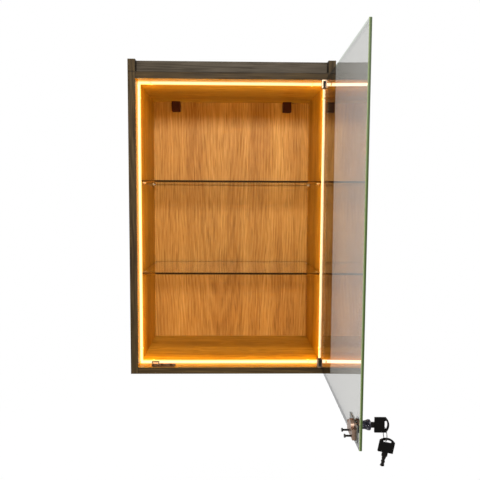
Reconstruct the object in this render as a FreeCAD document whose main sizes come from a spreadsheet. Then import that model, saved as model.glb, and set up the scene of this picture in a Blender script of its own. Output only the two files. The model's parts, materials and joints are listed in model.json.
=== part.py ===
import FreeCAD, Part
import Sketcher
import os
import re

# Wall-hung display case with a lit inside, two glass shelves and a locked glass door.
# Lengths in millimetres, angles in degrees. X to the right, Y into the wall, Z up.
# The origin is midway between the two wall screws, on the wall face of the back panel.

doc = FreeCAD.newDocument("display_case")
sizes = doc.addObject("Spreadsheet::Sheet", "sizes")

SIZES = {
    # boards of the carcass and the crown
    "width": 500.0,
    "depth": 315.0,
    "side_height": 740.5,
    "side_board": 18.0,
    "deck_board": 16.0,
    "back_board": 8.0,
    "rabbet": 8.0,
    "back_play": 0.5,
    "band": 1.0,
    "crown_height": 29.5,
    "fascia_board": 16.0,
    "fascia_setback": 18.0,
    "hang_height": 708.0,
    # dowels in the board joints
    "dowel_dia": 8.0,
    "dowel_length": 30.0,
    "dowel_in_side": 12.0,
    "dowel_inset": 45.0,
    "crown_dowel_up": 12.0,
    "crown_dowel_inset": 90.0,
    "fascia_dowel_down": 10.0,
    "fascia_dowel_step": 160.0,
    "dowel_fit": 0.05,
    "end_play": 0.5,
    "overcut": 1.0,
    # wood screws
    "screw_dia": 3.0,
    "screw_head_dia": 6.5,
    "screw_head": 2.0,
    "screw_grip": 11.0,
    "back_screw_grip": 24.0,
    "back_screw_inset": 50.0,
    "back_screw_step": 210.0,
    "thread_fit": 0.02,
    "cross_width": 1.0,
    "cross_length": 3.4,
    "cross_depth": 0.9,
    # wall hangers and their covers
    "hang_spacing": 330.0,
    "hang_hole": 7.0,
    "hanger_plate": 2.5,
    "hanger_width": 21.0,
    "hanger_drop": 26.0,
    "hanger_reach": 14.0,
    "hanger_screw_gap": 12.0,
    "cover_width": 25.0,
    "cover_height": 29.0,
    "cover_depth": 17.0,
    "cover_wall": 1.5,
    "cover_round": 2.0,
    # shelves and their supports
    "shelf_glass": 5.0,
    "lower_shelf": 243.0,
    "upper_shelf": 479.0,
    "shelf_setback": 53.0,
    "shelf_rear_gap": 4.0,
    "shelf_end_gap": 2.5,
    "pin_inset": 37.0,
    "pin_dia": 5.0,
    "pin_depth": 9.0,
    "pin_flange_dia": 10.0,
    "pin_flange": 1.2,
    "tongue_length": 10.0,
    "tongue_width": 8.0,
    "tongue_height": 3.0,
    "pad_length": 7.0,
    "pad_width": 7.0,
    "pad_height": 1.0,
    # light strips
    "led_setback": 36.0,
    "led_width": 14.0,
    "led_height": 4.5,
    "led_round": 1.4,
    "tape_width": 10.0,
    "tape_height": 1.0,
    "tape_play": 0.25,
    "strap_width": 3.0,
    "strap_height": 0.5,
    "strap_inset": 30.0,
    "strip_gap": 0.5,
    # light supply in the crown tray
    "lead_from_centre": 120.0,
    "lead_dia": 4.0,
    "lead_bend": 12.0,
    "lead_height": 14.0,
    "grommet_dia": 10.0,
    "grommet_lip_dia": 15.0,
    "grommet_lip": 1.5,
    "grommet_chamfer": 0.6,
    "lead_fit": 0.1,
    "lead_grip": 9.0,
    "driver_gap": 34.0,
    "driver_length": 130.0,
    "driver_width": 42.0,
    "driver_height": 22.0,
    "driver_round": 2.5,
    "driver_ear": 11.0,
    "driver_ear_width": 18.0,
    "driver_ear_height": 3.0,
    "inlet_width": 14.0,
    "inlet_height": 8.0,
    "inlet_depth": 9.0,
    # door glass and its hinges
    "open_angle": 88.65,
    "pivot_side": 8.4,
    "pivot_setback": 7.8,
    "door_glass": 5.0,
    "door_gap": 1.6,
    "hinge_edge": 3.0,
    "clip_width": 15.0,
    "clip_reach": 14.0,
    "clip_height": 19.0,
    "clip_cap": 3.0,
    "clip_gap": 1.0,
    "clip_pad": 1.75,
    "glass_shift": 1.25,
    "clip_round": 2.5,
    "pivot_dia": 4.0,
    "pivot_in_bush": 10.0,
    "pivot_chamfer": 0.6,
    "pivot_fit": 0.05,
    "bush_dia": 9.0,
    "bush_depth": 12.0,
    "bush_fit": 0.02,
    "grub_dia": 4.0,
    "grub_from_pivot": 8.0,
    "grub_socket": 2.0,
    "grub_socket_depth": 1.2,
    # lock on the door
    "lock_inset": 40.0,
    "lock_rise": 28.2,
    "barrel_dia": 16.0,
    "glass_hole": 18.0,
    "gasket": 1.0,
    "gasket_dia": 26.0,
    "flange_dia": 28.0,
    "flange": 2.0,
    "knob_waist_dia": 14.6,
    "knob_waist": 9.25,
    "knob_dia": 18.6,
    "knob_flare": 5.0,
    "knob_rim": 5.0,
    "knob_chamfer": 0.8,
    "knob_lip": 0.4,
    "knob_cove": 0.5,
    "knob_cove_run": 2.0,
    "plug_dia": 11.0,
    "plug_fit": 0.05,
    "plug_recess": 0.6,
    "keyway_height": 8.4,
    "keyway_width": 2.5,
    "tail_dia": 6.0,
    "lock_pad": 0.8,
    "lock_pad_inset": 1.0,
    "lock_plate": 1.2,
    "plate_length": 60.0,
    "plate_up": 10.8,
    "plate_down": 19.6,
    "case_length": 43.0,
    "case_up": 0.4,
    "case_down": 18.2,
    "case_depth": 6.0,
    "case_wall": 1.6,
    "case_round": 1.0,
    "boss_dia": 21.0,
    "boss_bore": 18.4,
    "cam_dia": 14.0,
    "cam_disc": 1.3,
    "cam_gap": 0.2,
    "drive_pin_dia": 2.4,
    "bolt_travel": 8.0,
    "bolt_thick": 2.4,
    "bolt_left": 5.0,
    "bolt_right": 6.0,
    "bolt_web": 1.2,
    "bolt_chamfer": 1.0,
    "hook_chamfer": 0.6,
    "slide_play": 0.3,
    "case_screw_gap": 23.0,
    "case_screw_drop": 14.6,
    "case_screw_dia": 3.5,
    "case_screw_out": 9.5,
    "case_screw_head": 2.4,
    # strike plate on the bottom panel
    "strike_length": 58.0,
    "strike_setback": 4.0,
    "strike_width": 26.0,
    "strike_plate": 1.2,
    "keeper_width": 18.0,
    "keeper_depth": 8.4,
    "keeper_height": 11.0,
    "keeper_slot_play": 1.0,
    "strike_screw_near": 24.5,
    "strike_screw_gap": 23.0,
    "strike_screw_setback": 21.0,
    # keys and split ring
    "key_thick": 2.0,
    "key_gap": 0.4,
    "key_blade_height": 7.6,
    "key_blade_length": 18.4,
    "key_bit": 1.6,
    "key_cut_start": 3.4,
    "key_cut_step": 2.9,
    "key_tip": 1.4,
    "key_end_play": 1.0,
    "key_shoulder": 7.2,
    "key_shoulder_height": 10.0,
    "key_tang": 9.0,
    "key_tang_height": 8.0,
    "key_head_length": 25.2,
    "key_head_height": 26.4,
    "key_head_thick": 4.0,
    "key_head_arc": 18.4,
    "key_loop_wall": 2.7,
    "key_loop_width": 5.2,
    "key_loop_height": 15.0,
    "ring_dia": 22.0,
    "ring_wire": 1.3,
    "ring_width": 1.8,
    "ring_side": 0.7,
    "ring_turn": 0.0,
    "ring_hang": 0.85,
    "spare_tilt": 11.0,
    "spare_slip": 4.6,
}

for row, (name, value) in enumerate(SIZES.items(), start=1):
    sizes.set("A%d" % row, name)
    sizes.set("B%d" % row, str(value))
    sizes.setAlias("B%d" % row, name)
doc.recompute()

# Places that several pieces share, as formulas of the sizes above.
PLACES = {
    "floor": "-hang_height",
    "deck_top": "floor + deck_board",
    "crown_base": "floor + side_height",
    "roof": "crown_base - deck_board",
    "inner_half": "width / 2 - side_board",
    "front": "-depth",
    "board_front": "-depth + band",
    "back_face": "-back_board",
    "dowel_bore": "dowel_dia + 2 * dowel_fit",
    "pilot": "screw_dia + 2 * thread_fit",
    "led_front": "front + led_setback",
    "led_middle": "led_front + led_width / 2",
    "led_wall": "led_width / 2 - tape_width / 2 - tape_play",
    "led_sag": "led_round * (1 - sqrt(1 / 2))",
    "lead_hole": "grommet_dia + 2 * lead_fit",
    "driver_front": "led_middle + driver_gap",
    "driver_left": "lead_from_centre - driver_length / 2",
    "pivot_x": "inner_half - pivot_side",
    "pivot_y": "front + pivot_setback",
    "door_reach": "2 * inner_half - pivot_side - door_gap",
    "glass_low": "deck_top + clip_gap + clip_cap",
    "glass_high": "roof - clip_gap - clip_cap",
    "clip_slot": "door_glass + 2 * clip_pad",
    "lock_x": "lock_inset - door_reach",
    "lock_z": "glass_low + lock_rise",
    "glass_out": "-door_glass / 2 - glass_shift",
    "glass_in": "door_glass / 2 - glass_shift",
    "knob_out": "glass_out - gasket - flange - knob_waist - knob_flare - knob_rim",
    "plate_in": "glass_in + lock_pad",
    "case_in": "plate_in + lock_plate",
    "case_end": "case_in + case_depth",
    "cam_in": "case_in + cam_gap",
    "bolt_in": "cam_in + cam_disc + cam_gap",
    "bolt_middle": "bolt_in + bolt_thick / 2",
    "drive_half": "bolt_travel / 2",
    "notch": "drive_pin_dia + 2 * slide_play",
    "bolt_top": "drive_half + notch / 2 + bolt_web",
    "bolt_x": "pivot_x + lock_x",
    "bolt_y": "pivot_y + bolt_middle",
    "key_root": "knob_out - key_gap - key_shoulder",
    "key_end": "key_root - key_head_length",
    "ring_y": "key_end + key_loop_wall + key_loop_width - ring_side - ring_width / 2",
    "ring_top": "lock_z - key_loop_height / 2 + ring_hang + ring_wire / 2",
    "ring_low": "ring_top - ring_dia",
    "spare_hook": "key_head_arc - sqrt((key_head_arc - key_loop_wall)^2 - spare_slip^2)"
                  " + ring_hang + ring_wire / 2",
    "spare_y": "ring_y - spare_hook * sin(spare_tilt) - spare_slip * cos(spare_tilt)",
    "spare_z": "ring_low + spare_hook * cos(spare_tilt) - spare_slip * sin(spare_tilt)",
}

WORD = re.compile(r"[a-z_][a-z0-9_]*")


def formula(text):
    """Spell out a formula so that it names only cells of the sheet."""
    def spell(match):
        word = match.group(0)
        if word in PLACES:
            return "(" + formula(PLACES[word]) + ")"
        if word in SIZES:
            return "sizes." + word
        return word
    return WORD.sub(spell, text)


def bind(thing, prop, text):
    thing.setExpression(prop, formula(text))


def place(thing, x, y, z):
    bind(thing, "Placement.Base.x", x)
    bind(thing, "Placement.Base.y", y)
    bind(thing, "Placement.Base.z", z)


def measure(text):
    """Value of a formula at the present sizes."""
    return float(sizes.evalExpression(formula(text)))


def turned_to(across, up):
    """Rotation that lays a flat profile's two directions along the given ones."""
    return FreeCAD.Rotation(across, up, across.cross(up), "XYZ")


EAST = FreeCAD.Vector(1, 0, 0)
WEST = FreeCAD.Vector(-1, 0, 0)
NORTH = FreeCAD.Vector(0, 1, 0)
SOUTH = FreeCAD.Vector(0, -1, 0)
UP = FreeCAD.Vector(0, 0, 1)
DOWN = FreeCAD.Vector(0, 0, -1)
AIM = {
    "+X": FreeCAD.Rotation(UP, EAST),
    "-X": FreeCAD.Rotation(UP, WEST),
    "+Y": FreeCAD.Rotation(UP, NORTH),
    "-Y": FreeCAD.Rotation(UP, SOUTH),
    "+Z": FreeCAD.Rotation(),
    "-Z": FreeCAD.Rotation(EAST, 180),
}


def box(name, x, y, z):
    """Block given by a start and a size along each axis."""
    block = doc.addObject("Part::Box", name)
    bind(block, "Length", x[1])
    bind(block, "Width", y[1])
    bind(block, "Height", z[1])
    place(block, x[0], y[0], z[0])
    return block


def rod(name, aim, dia, length, at):
    """Round bar that starts at a point and runs along one axis."""
    bar = doc.addObject("Part::Cylinder", name)
    bind(bar, "Radius", "(%s) / 2" % dia)
    bind(bar, "Height", length)
    bar.Placement = FreeCAD.Placement(FreeCAD.Vector(), AIM[aim])
    place(bar, *at)
    return bar


def fuse(name, *things):
    whole = doc.addObject("Part::MultiFuse", name)
    whole.Shapes = list(things)
    return whole


def cut(name, base, *tools):
    rest = doc.addObject("Part::Cut", name)
    rest.Base = base
    rest.Tool = tools[0] if len(tools) == 1 else fuse(name + "_tools", *tools)
    return rest


def common(name, one, other):
    both = doc.addObject("Part::Common", name)
    both.Base = one
    both.Tool = other
    return both


TOUCH = 0.01


def rounded(name, base, radius, wanted):
    """Round the edges of a shape whose bounding box passes the given test."""
    doc.recompute()
    edges = [i for i, edge in enumerate(base.Shape.Edges, start=1) if wanted(edge.BoundBox)]
    soft = doc.addObject("Part::Fillet", name)
    soft.Base = base
    soft.Edges = [(i, measure(radius), measure(radius)) for i in edges]
    return soft


def outline(body, name, role, points):
    """Closed sketch of straight lines with every corner tied to its two formulas."""
    sketch = body.newObject("Sketcher::SketchObject", name)
    plane = [part for part in body.Origin.OriginFeatures if part.Role == role][0]
    sketch.AttachmentSupport = [(plane, "")]
    sketch.MapMode = "FlatFace"
    corners = [FreeCAD.Vector(measure(x), measure(y), 0) for x, y in points]
    count = len(corners)
    for i in range(count):
        sketch.addGeometry(Part.LineSegment(corners[i], corners[(i + 1) % count]))
    for i in range(count):
        sketch.addConstraint(Sketcher.Constraint("Coincident", i, 2, (i + 1) % count, 1))
    for i in range(count):
        across = sketch.addConstraint(Sketcher.Constraint("DistanceX", -1, 1, i, 1, corners[i].x))
        sketch.setExpression("Constraints[%d]" % across, formula(points[i][0]))
        along = sketch.addConstraint(Sketcher.Constraint("DistanceY", -1, 1, i, 1, corners[i].y))
        sketch.setExpression("Constraints[%d]" % along, formula(points[i][1]))
    return sketch


def extruded(name, points, length):
    """Body with a flat outline in its XY plane and a length along its Z axis."""
    body = doc.addObject("PartDesign::Body", name)
    sketch = outline(body, name + "_outline", "XY_Plane", points)
    pad = body.newObject("PartDesign::Pad", name + "_pad")
    pad.Profile = sketch
    bind(pad, "Length", length)
    body.Tip = pad
    sketch.Visibility = False
    return body


def spun(name, points):
    """Body turned round its Z axis from a half section of radius and height."""
    body = doc.addObject("PartDesign::Body", name)
    sketch = outline(body, name + "_section", "XZ_Plane", points)
    turn = body.newObject("PartDesign::Revolution", name + "_turn")
    turn.Profile = sketch
    turn.ReferenceAxis = (sketch, ["V_Axis"])
    turn.Angle = 360.0
    body.Tip = turn
    sketch.Visibility = False
    return body


def aimed(thing, rotation, x, y, z):
    """Give a finished shape a direction and a place."""
    thing.Placement = FreeCAD.Placement(FreeCAD.Vector(), rotation)
    place(thing, x, y, z)
    return thing


def screw(name, aim, at, dia, grip, head_dia, head):
    """Cross-recess screw: the underside of its head at a point, its head end along one axis."""
    shank = rod(name + "_shank", "-Z", dia, grip, ("0", "0", "0"))
    cap = rod(name + "_cap", "+Z", head_dia, head, ("0", "0", "0"))
    solid = fuse(name + "_solid", shank, cap)
    arms = [
        box(name + "_arm_a", ("-cross_length / 2", "cross_length"), ("-cross_width / 2", "cross_width"),
            ("%s - cross_depth" % head, "cross_depth + overcut")),
        box(name + "_arm_b", ("-cross_width / 2", "cross_width"), ("-cross_length / 2", "cross_length"),
            ("%s - cross_depth" % head, "cross_depth + overcut")),
    ]
    return aimed(cut(name, solid, *arms), AIM[aim], *at)


parts = []


def finished(label, thing):
    thing.Label = label
    parts.append(thing)
    return thing


def bundle(label, *things):
    """One node made of one or more separate solids."""
    group = doc.addObject("Part::Compound", label + "_set")
    group.Links = list(things)
    return finished(label, group)


def on_door(label, *things):
    """Node of the door: drawn with the door shut round its pivot, then swung open."""
    group = bundle(label, *things)
    group.Placement = FreeCAD.Placement(FreeCAD.Vector(), FreeCAD.Rotation(UP, 90))
    bind(group, "Placement.Rotation.Angle", "open_angle")
    place(group, "pivot_x", "pivot_y", "0")
    return group


SIDES = (("left", -1), ("right", 1))
DECKS = (("bottom", "floor"), ("top", "roof"))
DOWEL_ROWS = ("front + dowel_inset", "front / 2", "-dowel_inset")
CROWN_ROWS = ("front + crown_dowel_inset", "-crown_dowel_inset")
SHELVES = (("lower", "floor + lower_shelf"), ("upper", "floor + upper_shelf"))
PIN_ROWS = ("front + shelf_setback + pin_inset", "back_face - shelf_rear_gap - pin_inset")
BACK_SCREW_ROWS = ("deck_top + back_screw_inset", "deck_top + back_screw_inset + back_screw_step",
                   "roof - back_screw_inset - back_screw_step", "roof - back_screw_inset")
FASCIA_COLUMNS = ("-fascia_dowel_step", "0", "fascia_dowel_step")

# Screws through the rear edges of the back panel into the sides.
back_screws = []
for side, sign in SIDES:
    for level, height in enumerate(BACK_SCREW_ROWS):
        name = "back_screw_%s_%d" % (side, level)
        at = ("%d * (inner_half + rabbet / 2)" % sign, "-screw_head", height)
        back_screws.append(screw(name, "+Y", at, "screw_dia", "back_screw_grip",
                                 "screw_head_dia", "screw_head"))
bundle("back_screws", *back_screws)


def back_screw_hole(name, sign, height):
    x = "%d * (inner_half + rabbet / 2)" % sign
    shank = rod(name, "-Y", "pilot", "back_screw_grip + screw_head + end_play", (x, "0", height))
    head = rod(name + "_sink", "-Y", "screw_head_dia + 2 * thread_fit", "screw_head", (x, "0", height))
    return [shank, head]


# Dowels that join the two decks to the sides, lying across the joint.
deck_dowels = []
for side, sign in SIDES:
    for deck, level in DECKS:
        for row, y in enumerate(DOWEL_ROWS):
            start = "-inner_half - dowel_in_side"
            if sign > 0:
                start = "inner_half + dowel_in_side - dowel_length"
            at = (start, y, level + " + deck_board / 2")
            name = "dowel_%s_%s_%d" % (deck, side, row)
            deck_dowels.append(rod(name, "+X", "dowel_dia", "dowel_length", at))
bundle("carcass_dowels", *deck_dowels)

# Upright dowels that join the crown to the sides and the fascia to the top panel.
crown_dowels = []
for side, sign in SIDES:
    for row, y in enumerate(CROWN_ROWS):
        at = ("%d * (width - side_board) / 2" % sign, y, "crown_base + crown_dowel_up - dowel_length")
        crown_dowels.append(rod("crown_dowel_%s_%d" % (side, row), "+Z", "dowel_dia", "dowel_length", at))
for column, x in enumerate(FASCIA_COLUMNS):
    at = (x, "front + fascia_setback + fascia_board / 2", "crown_base - fascia_dowel_down")
    crown_dowels.append(rod("fascia_dowel_%d" % column, "+Z", "dowel_dia", "dowel_length", at))
bundle("crown_dowels", *crown_dowels)

# Side boards with a rabbet for the back, dowel holes and blind holes for the shelf pins.
for side, sign in SIDES:
    outer = "-width / 2" if sign < 0 else "inner_half"
    board = box("side_%s_board" % side, (outer, "side_board"), ("board_front", "depth - band"),
                ("floor", "side_height"))
    rabbet_x = "-inner_half - rabbet" if sign < 0 else "inner_half - overcut"
    tools = [box("side_%s_rabbet" % side, (rabbet_x, "rabbet + overcut"),
                 ("back_face", "back_board + overcut"),
                 ("deck_top - rabbet", "roof - deck_top + 2 * rabbet"))]
    for deck, level in DECKS:
        for row, y in enumerate(DOWEL_ROWS):
            start = "-inner_half - dowel_in_side - end_play" if sign < 0 else "inner_half - overcut"
            tools.append(rod("side_%s_%s_hole_%d" % (side, deck, row), "+X", "dowel_bore",
                             "dowel_in_side + end_play + overcut", (start, y, level + " + deck_board / 2")))
    for row, y in enumerate(CROWN_ROWS):
        at = ("%d * (width - side_board) / 2" % sign, y,
              "crown_base + crown_dowel_up - dowel_length - end_play")
        tools.append(rod("side_%s_crown_hole_%d" % (side, row), "+Z", "dowel_bore", "dowel_length", at))
    for shelf, level in SHELVES:
        for row, y in enumerate(PIN_ROWS):
            start = "-inner_half - pin_depth - end_play" if sign < 0 else "inner_half - overcut"
            at = (start, y, level + " - pad_height - tongue_height / 2")
            tools.append(rod("side_%s_%s_pin_hole_%d" % (side, shelf, row), "+X", "pin_dia + 2 * dowel_fit",
                             "pin_depth + end_play + overcut", at))
    for level, height in enumerate(BACK_SCREW_ROWS):
        tools += back_screw_hole("side_%s_back_hole_%d" % (side, level), sign, height)
    finished("side_" + side, cut("side_%s_cut" % side, board, *tools))

# Decks between the sides, each with a rabbet for the back, a hole for a hinge bush and screw holes.
for deck, level in DECKS:
    on_top = deck == "top"
    board = box(deck + "_board", ("-inner_half", "2 * inner_half"), ("board_front", "depth - band"),
                (level, "deck_board"))
    rabbet_z = "roof - overcut" if on_top else "deck_top - rabbet"
    tools = [box(deck + "_rabbet", ("-inner_half - overcut", "2 * inner_half + 2 * overcut"),
                 ("back_face", "back_board + overcut"), (rabbet_z, "rabbet + overcut"))]
    for side, sign in SIDES:
        for row, y in enumerate(DOWEL_ROWS):
            start = "-inner_half - overcut"
            if sign > 0:
                start = "inner_half - dowel_length + dowel_in_side - end_play"
            tools.append(rod("%s_%s_hole_%d" % (deck, side, row), "+X", "dowel_bore",
                             "dowel_length - dowel_in_side + end_play + overcut",
                             (start, y, level + " + deck_board / 2")))
    bush_face = "roof" if on_top else "deck_top"
    inward = "+Z" if on_top else "-Z"
    tools.append(rod(deck + "_bush_hole", inward, "bush_dia + 2 * bush_fit", "bush_depth",
                     ("pivot_x", "pivot_y", bush_face)))
    if on_top:
        tools.append(rod("lead_hole", "+Z", "lead_hole", "deck_board + 2 * overcut",
                         ("lead_from_centre", "led_middle", "roof - overcut")))
        for column, x in enumerate(FASCIA_COLUMNS):
            at = (x, "front + fascia_setback + fascia_board / 2", "crown_base - fascia_dowel_down - end_play")
            tools.append(rod("top_fascia_hole_%d" % column, "+Z", "dowel_bore", "dowel_length", at))
        for side, sign in SIDES:
            for pair in (-1, 1):
                at = ("%d * hang_spacing / 2 + %d * hanger_screw_gap / 2" % (sign, pair),
                      "back_face - hanger_plate / 2 - hanger_reach / 2", "roof - overcut")
                tools.append(rod("top_%s_hanger_hole_%d" % (side, pair + 1), "+Z", "pilot",
                                 "screw_grip + end_play + overcut", at))
        for ear in (-1, 1):
            at = ("lead_from_centre + %d * (driver_length + driver_ear) / 2" % ear,
                  "driver_front + driver_width / 2", "crown_base + overcut")
            tools.append(rod("top_driver_hole_%d" % (ear + 1), "-Z", "pilot",
                             "screw_grip + end_play + overcut", at))
    else:
        for pair in (0, 1):
            at = ("bolt_x - keeper_width / 2 + strike_screw_near + %d * strike_screw_gap" % pair,
                  "front + strike_screw_setback", "deck_top + overcut")
            tools.append(rod("bottom_strike_hole_%d" % pair, "-Z", "pilot",
                             "screw_grip + end_play + overcut", at))
    finished(deck + "_panel", cut(deck + "_cut", board, *tools))

# Thin back board set into the rabbets, with the two wall-screw holes.
back_blank = box("back_blank", ("-inner_half - rabbet + back_play", "2 * (inner_half + rabbet - back_play)"),
                 ("back_face", "back_board"),
                 ("deck_top - rabbet + back_play", "roof - deck_top + 2 * (rabbet - back_play)"))
back_tools = []
for side, sign in SIDES:
    back_tools.append(rod("back_%s_wall_hole" % side, "+Y", "hang_hole", "back_board + 2 * overcut",
                          ("%d * hang_spacing / 2" % sign, "back_face - overcut", "0")))
    for level, height in enumerate(BACK_SCREW_ROWS):
        back_tools += back_screw_hole("back_%s_hole_%d" % (side, level), sign, height)
finished("back_panel", cut("back_cut", back_blank, *back_tools))

# Dark edging glued on the four front edges.
bundle("edge_bands",
       box("band_left", ("-width / 2", "side_board"), ("front", "band"), ("floor", "side_height")),
       box("band_right", ("inner_half", "side_board"), ("front", "band"), ("floor", "side_height")),
       box("band_bottom", ("-inner_half", "2 * inner_half"), ("front", "band"), ("floor", "deck_board")),
       box("band_top", ("-inner_half", "2 * inner_half"), ("front", "band"), ("roof", "deck_board")))

# Crown: a rail on each side board and a fascia set back between them, open at the top.
for side, sign in SIDES:
    outer = "-width / 2" if sign < 0 else "inner_half"
    rail = box("crown_%s_rail" % side, (outer, "side_board"), ("front", "depth"),
               ("crown_base", "crown_height"))
    holes = [rod("crown_%s_hole_%d" % (side, row), "+Z", "dowel_bore", "crown_dowel_up + end_play + overcut",
                 ("%d * (width - side_board) / 2" % sign, y, "crown_base - overcut"))
             for row, y in enumerate(CROWN_ROWS)]
    finished("crown_" + side, cut("crown_%s_cut" % side, rail, *holes))
fascia = box("fascia_board", ("-inner_half", "2 * inner_half"), ("front + fascia_setback", "fascia_board"),
             ("crown_base", "crown_height"))
fascia_holes = [rod("fascia_hole_%d" % column, "+Z", "dowel_bore",
                    "dowel_length - fascia_dowel_down + end_play + overcut",
                    (x, "front + fascia_setback + fascia_board / 2", "crown_base - overcut"))
                for column, x in enumerate(FASCIA_COLUMNS)]
finished("crown_fascia", cut("fascia_cut", fascia, *fascia_holes))

# Wall hangers: steel angles under the top panel that take the wall screws, under black covers.
hanger_screws = []
for side, sign in SIDES:
    middle = "%d * hang_spacing / 2" % sign
    angle = extruded("hanger_%s_angle" % side,
                     (("0", "0"), ("hanger_reach", "0"), ("hanger_reach", "hanger_plate"),
                      ("hanger_plate", "hanger_plate"), ("hanger_plate", "hanger_drop"),
                      ("0", "hanger_drop")),
                     "hanger_width")
    aimed(angle, turned_to(SOUTH, DOWN), middle + " - hanger_width / 2", "back_face", "roof")
    holes = [rod("hanger_%s_wall_hole" % side, "+Y", "hang_hole", "hanger_plate + 2 * overcut",
                 (middle, "back_face - hanger_plate - overcut", "0"))]
    for pair in (-1, 1):
        x = middle + " + %d * hanger_screw_gap / 2" % pair
        y = "back_face - hanger_plate / 2 - hanger_reach / 2"
        holes.append(rod("hanger_%s_hole_%d" % (side, pair + 1), "+Z", "pilot", "hanger_plate + 2 * overcut",
                         (x, y, "roof - hanger_plate - overcut")))
        hanger_screws.append(screw("hanger_screw_%s_%d" % (side, pair + 1), "-Z",
                                   (x, y, "roof - hanger_plate"),
                                   "screw_dia", "screw_grip", "screw_head_dia", "screw_head"))
    finished("hanger_" + side, cut("hanger_%s_cut" % side, angle, *holes))

    shell = box("cover_%s_block" % side, (middle + " - cover_width / 2", "cover_width"),
                ("back_face - cover_depth", "cover_depth"), ("roof - cover_height", "cover_height"))
    front_y = measure("back_face - cover_depth")
    low_z = measure("roof - cover_height")
    high_z = measure("roof")
    soft = rounded("cover_%s_soft" % side, shell, "cover_round",
                   lambda b: (abs(b.YMax - front_y) < TOUCH and b.ZMin < high_z - TOUCH)
                   or (abs(b.ZMax - low_z) < TOUCH and b.YMin > front_y - TOUCH and b.XLength < TOUCH))
    hollow = box("cover_%s_hollow" % side, (middle + " - cover_width / 2 + cover_wall",
                                            "cover_width - 2 * cover_wall"),
                 ("back_face - cover_depth + cover_wall", "cover_depth"),
                 ("roof - cover_height + cover_wall", "cover_height"))
    finished("hanger_cover_" + side, cut("cover_%s_cut" % side, soft, hollow))
bundle("hanger_screws", *hanger_screws)

# Glass shelves on metal pins, each pin with a flange, a tongue under the glass and a soft pad.
pins = []
pads = []
for shelf, level in SHELVES:
    finished("shelf_" + shelf,
             box("shelf_%s_glass" % shelf,
                 ("-inner_half + shelf_end_gap", "2 * (inner_half - shelf_end_gap)"),
                 ("front + shelf_setback", "depth - back_board - shelf_setback - shelf_rear_gap"),
                 (level, "shelf_glass")))
    for side, sign in SIDES:
        for row, y in enumerate(PIN_ROWS):
            name = "pin_%s_%s_%d" % (shelf, side, row)
            aim = "+X" if sign < 0 else "-X"
            wall = "%d * inner_half" % sign
            axis = level + " - pad_height - tongue_height / 2"
            inward = "" if sign < 0 else " - tongue_length"
            peg = rod(name + "_peg", aim, "pin_dia", "pin_depth + pin_flange",
                      (wall + " + %d * pin_depth" % sign, y, axis))
            collar = rod(name + "_collar", aim, "pin_flange_dia", "pin_flange", (wall, y, axis))
            trim = box(name + "_trim", (wall + " - 2 * pin_flange", "4 * pin_flange"),
                       (y + " - pin_flange_dia", "2 * pin_flange_dia"),
                       (level + " - pad_height", "pin_flange_dia"))
            tongue = box(name + "_tongue", (wall + inward, "tongue_length"),
                         (y + " - tongue_width / 2", "tongue_width"),
                         (level + " - pad_height - tongue_height", "tongue_height"))
            pins.append(fuse(name, peg, cut(name + "_flange", collar, trim), tongue))
            pad_x = wall + " + pin_flange" if sign < 0 else wall + " - pin_flange - pad_length"
            pads.append(box("pad_%s_%s_%d" % (shelf, side, row), (pad_x, "pad_length"),
                            (y + " - pad_width / 2", "pad_width"), (level + " - pad_height", "pad_height")))
bundle("shelf_pins", *pins)
bundle("shelf_pads", *pads)

# Light strips round the front of the inside: a milky cover over a lit tape, held by thin straps.
LED_SECTION = (
    ("0", "0"),
    ("led_wall", "0"),
    ("led_wall", "tape_height + tape_play"),
    ("led_width - led_wall", "tape_height + tape_play"),
    ("led_width - led_wall", "0"),
    ("led_width", "0"),
    ("led_width", "led_height - led_round"),
    ("led_width - led_sag", "led_height - led_sag"),
    ("led_width - led_round", "led_height"),
    ("led_round", "led_height"),
    ("led_sag", "led_height - led_sag"),
    ("0", "led_height - led_round"),
)
STRAP_SECTION = (
    ("-strap_height", "0"),
    ("0", "0"),
    ("0", "led_height"),
    ("led_width", "led_height"),
    ("led_width", "0"),
    ("led_width + strap_height", "0"),
    ("led_width + strap_height", "led_height + strap_height"),
    ("-strap_height", "led_height + strap_height"),
)
deck_strip = "2 * (inner_half - strip_gap)"
side_strip = "roof - deck_top - 2 * (led_height + strip_gap)"
STRIPS = (
    ("top", turned_to(NORTH, DOWN), ("inner_half - strip_gap", "led_front", "roof"), deck_strip, WEST),
    ("bottom", turned_to(NORTH, UP), ("-inner_half + strip_gap", "led_front", "deck_top"), deck_strip, EAST),
    ("left", turned_to(NORTH, EAST), ("-inner_half", "led_front", "roof - led_height - strip_gap"),
     side_strip, DOWN),
    ("right", turned_to(NORTH, WEST), ("inner_half", "led_front", "deck_top + led_height + strip_gap"),
     side_strip, UP),
)


def shifted(at, way, distance):
    """Formulas of a point moved along one axis."""
    steps = (way.x, way.y, way.z)
    return tuple("%s + %d * (%s)" % (spot, round(step), distance) if step else spot
                 for spot, step in zip(at, steps))


tapes = []
straps = []
for strip, rotation, start, length, way in STRIPS:
    cover = extruded("led_%s_cover" % strip, LED_SECTION, length)
    finished("led_diffuser_" + strip, aimed(cover, rotation, *start))
    tape = extruded("led_%s_tape" % strip,
                    (("led_wall + tape_play", "0"), ("led_width - led_wall - tape_play", "0"),
                     ("led_width - led_wall - tape_play", "tape_height"),
                     ("led_wall + tape_play", "tape_height")), length)
    tapes.append(aimed(tape, rotation, *start))
    for end, distance in enumerate(("strap_inset", length + " - strap_inset - strap_width")):
        strap = extruded("led_%s_strap_%d" % (strip, end), STRAP_SECTION, "strap_width")
        straps.append(aimed(strap, rotation, *shifted(start, way, distance)))
bundle("led_tapes", *tapes)
bundle("led_clips", *straps)

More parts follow.
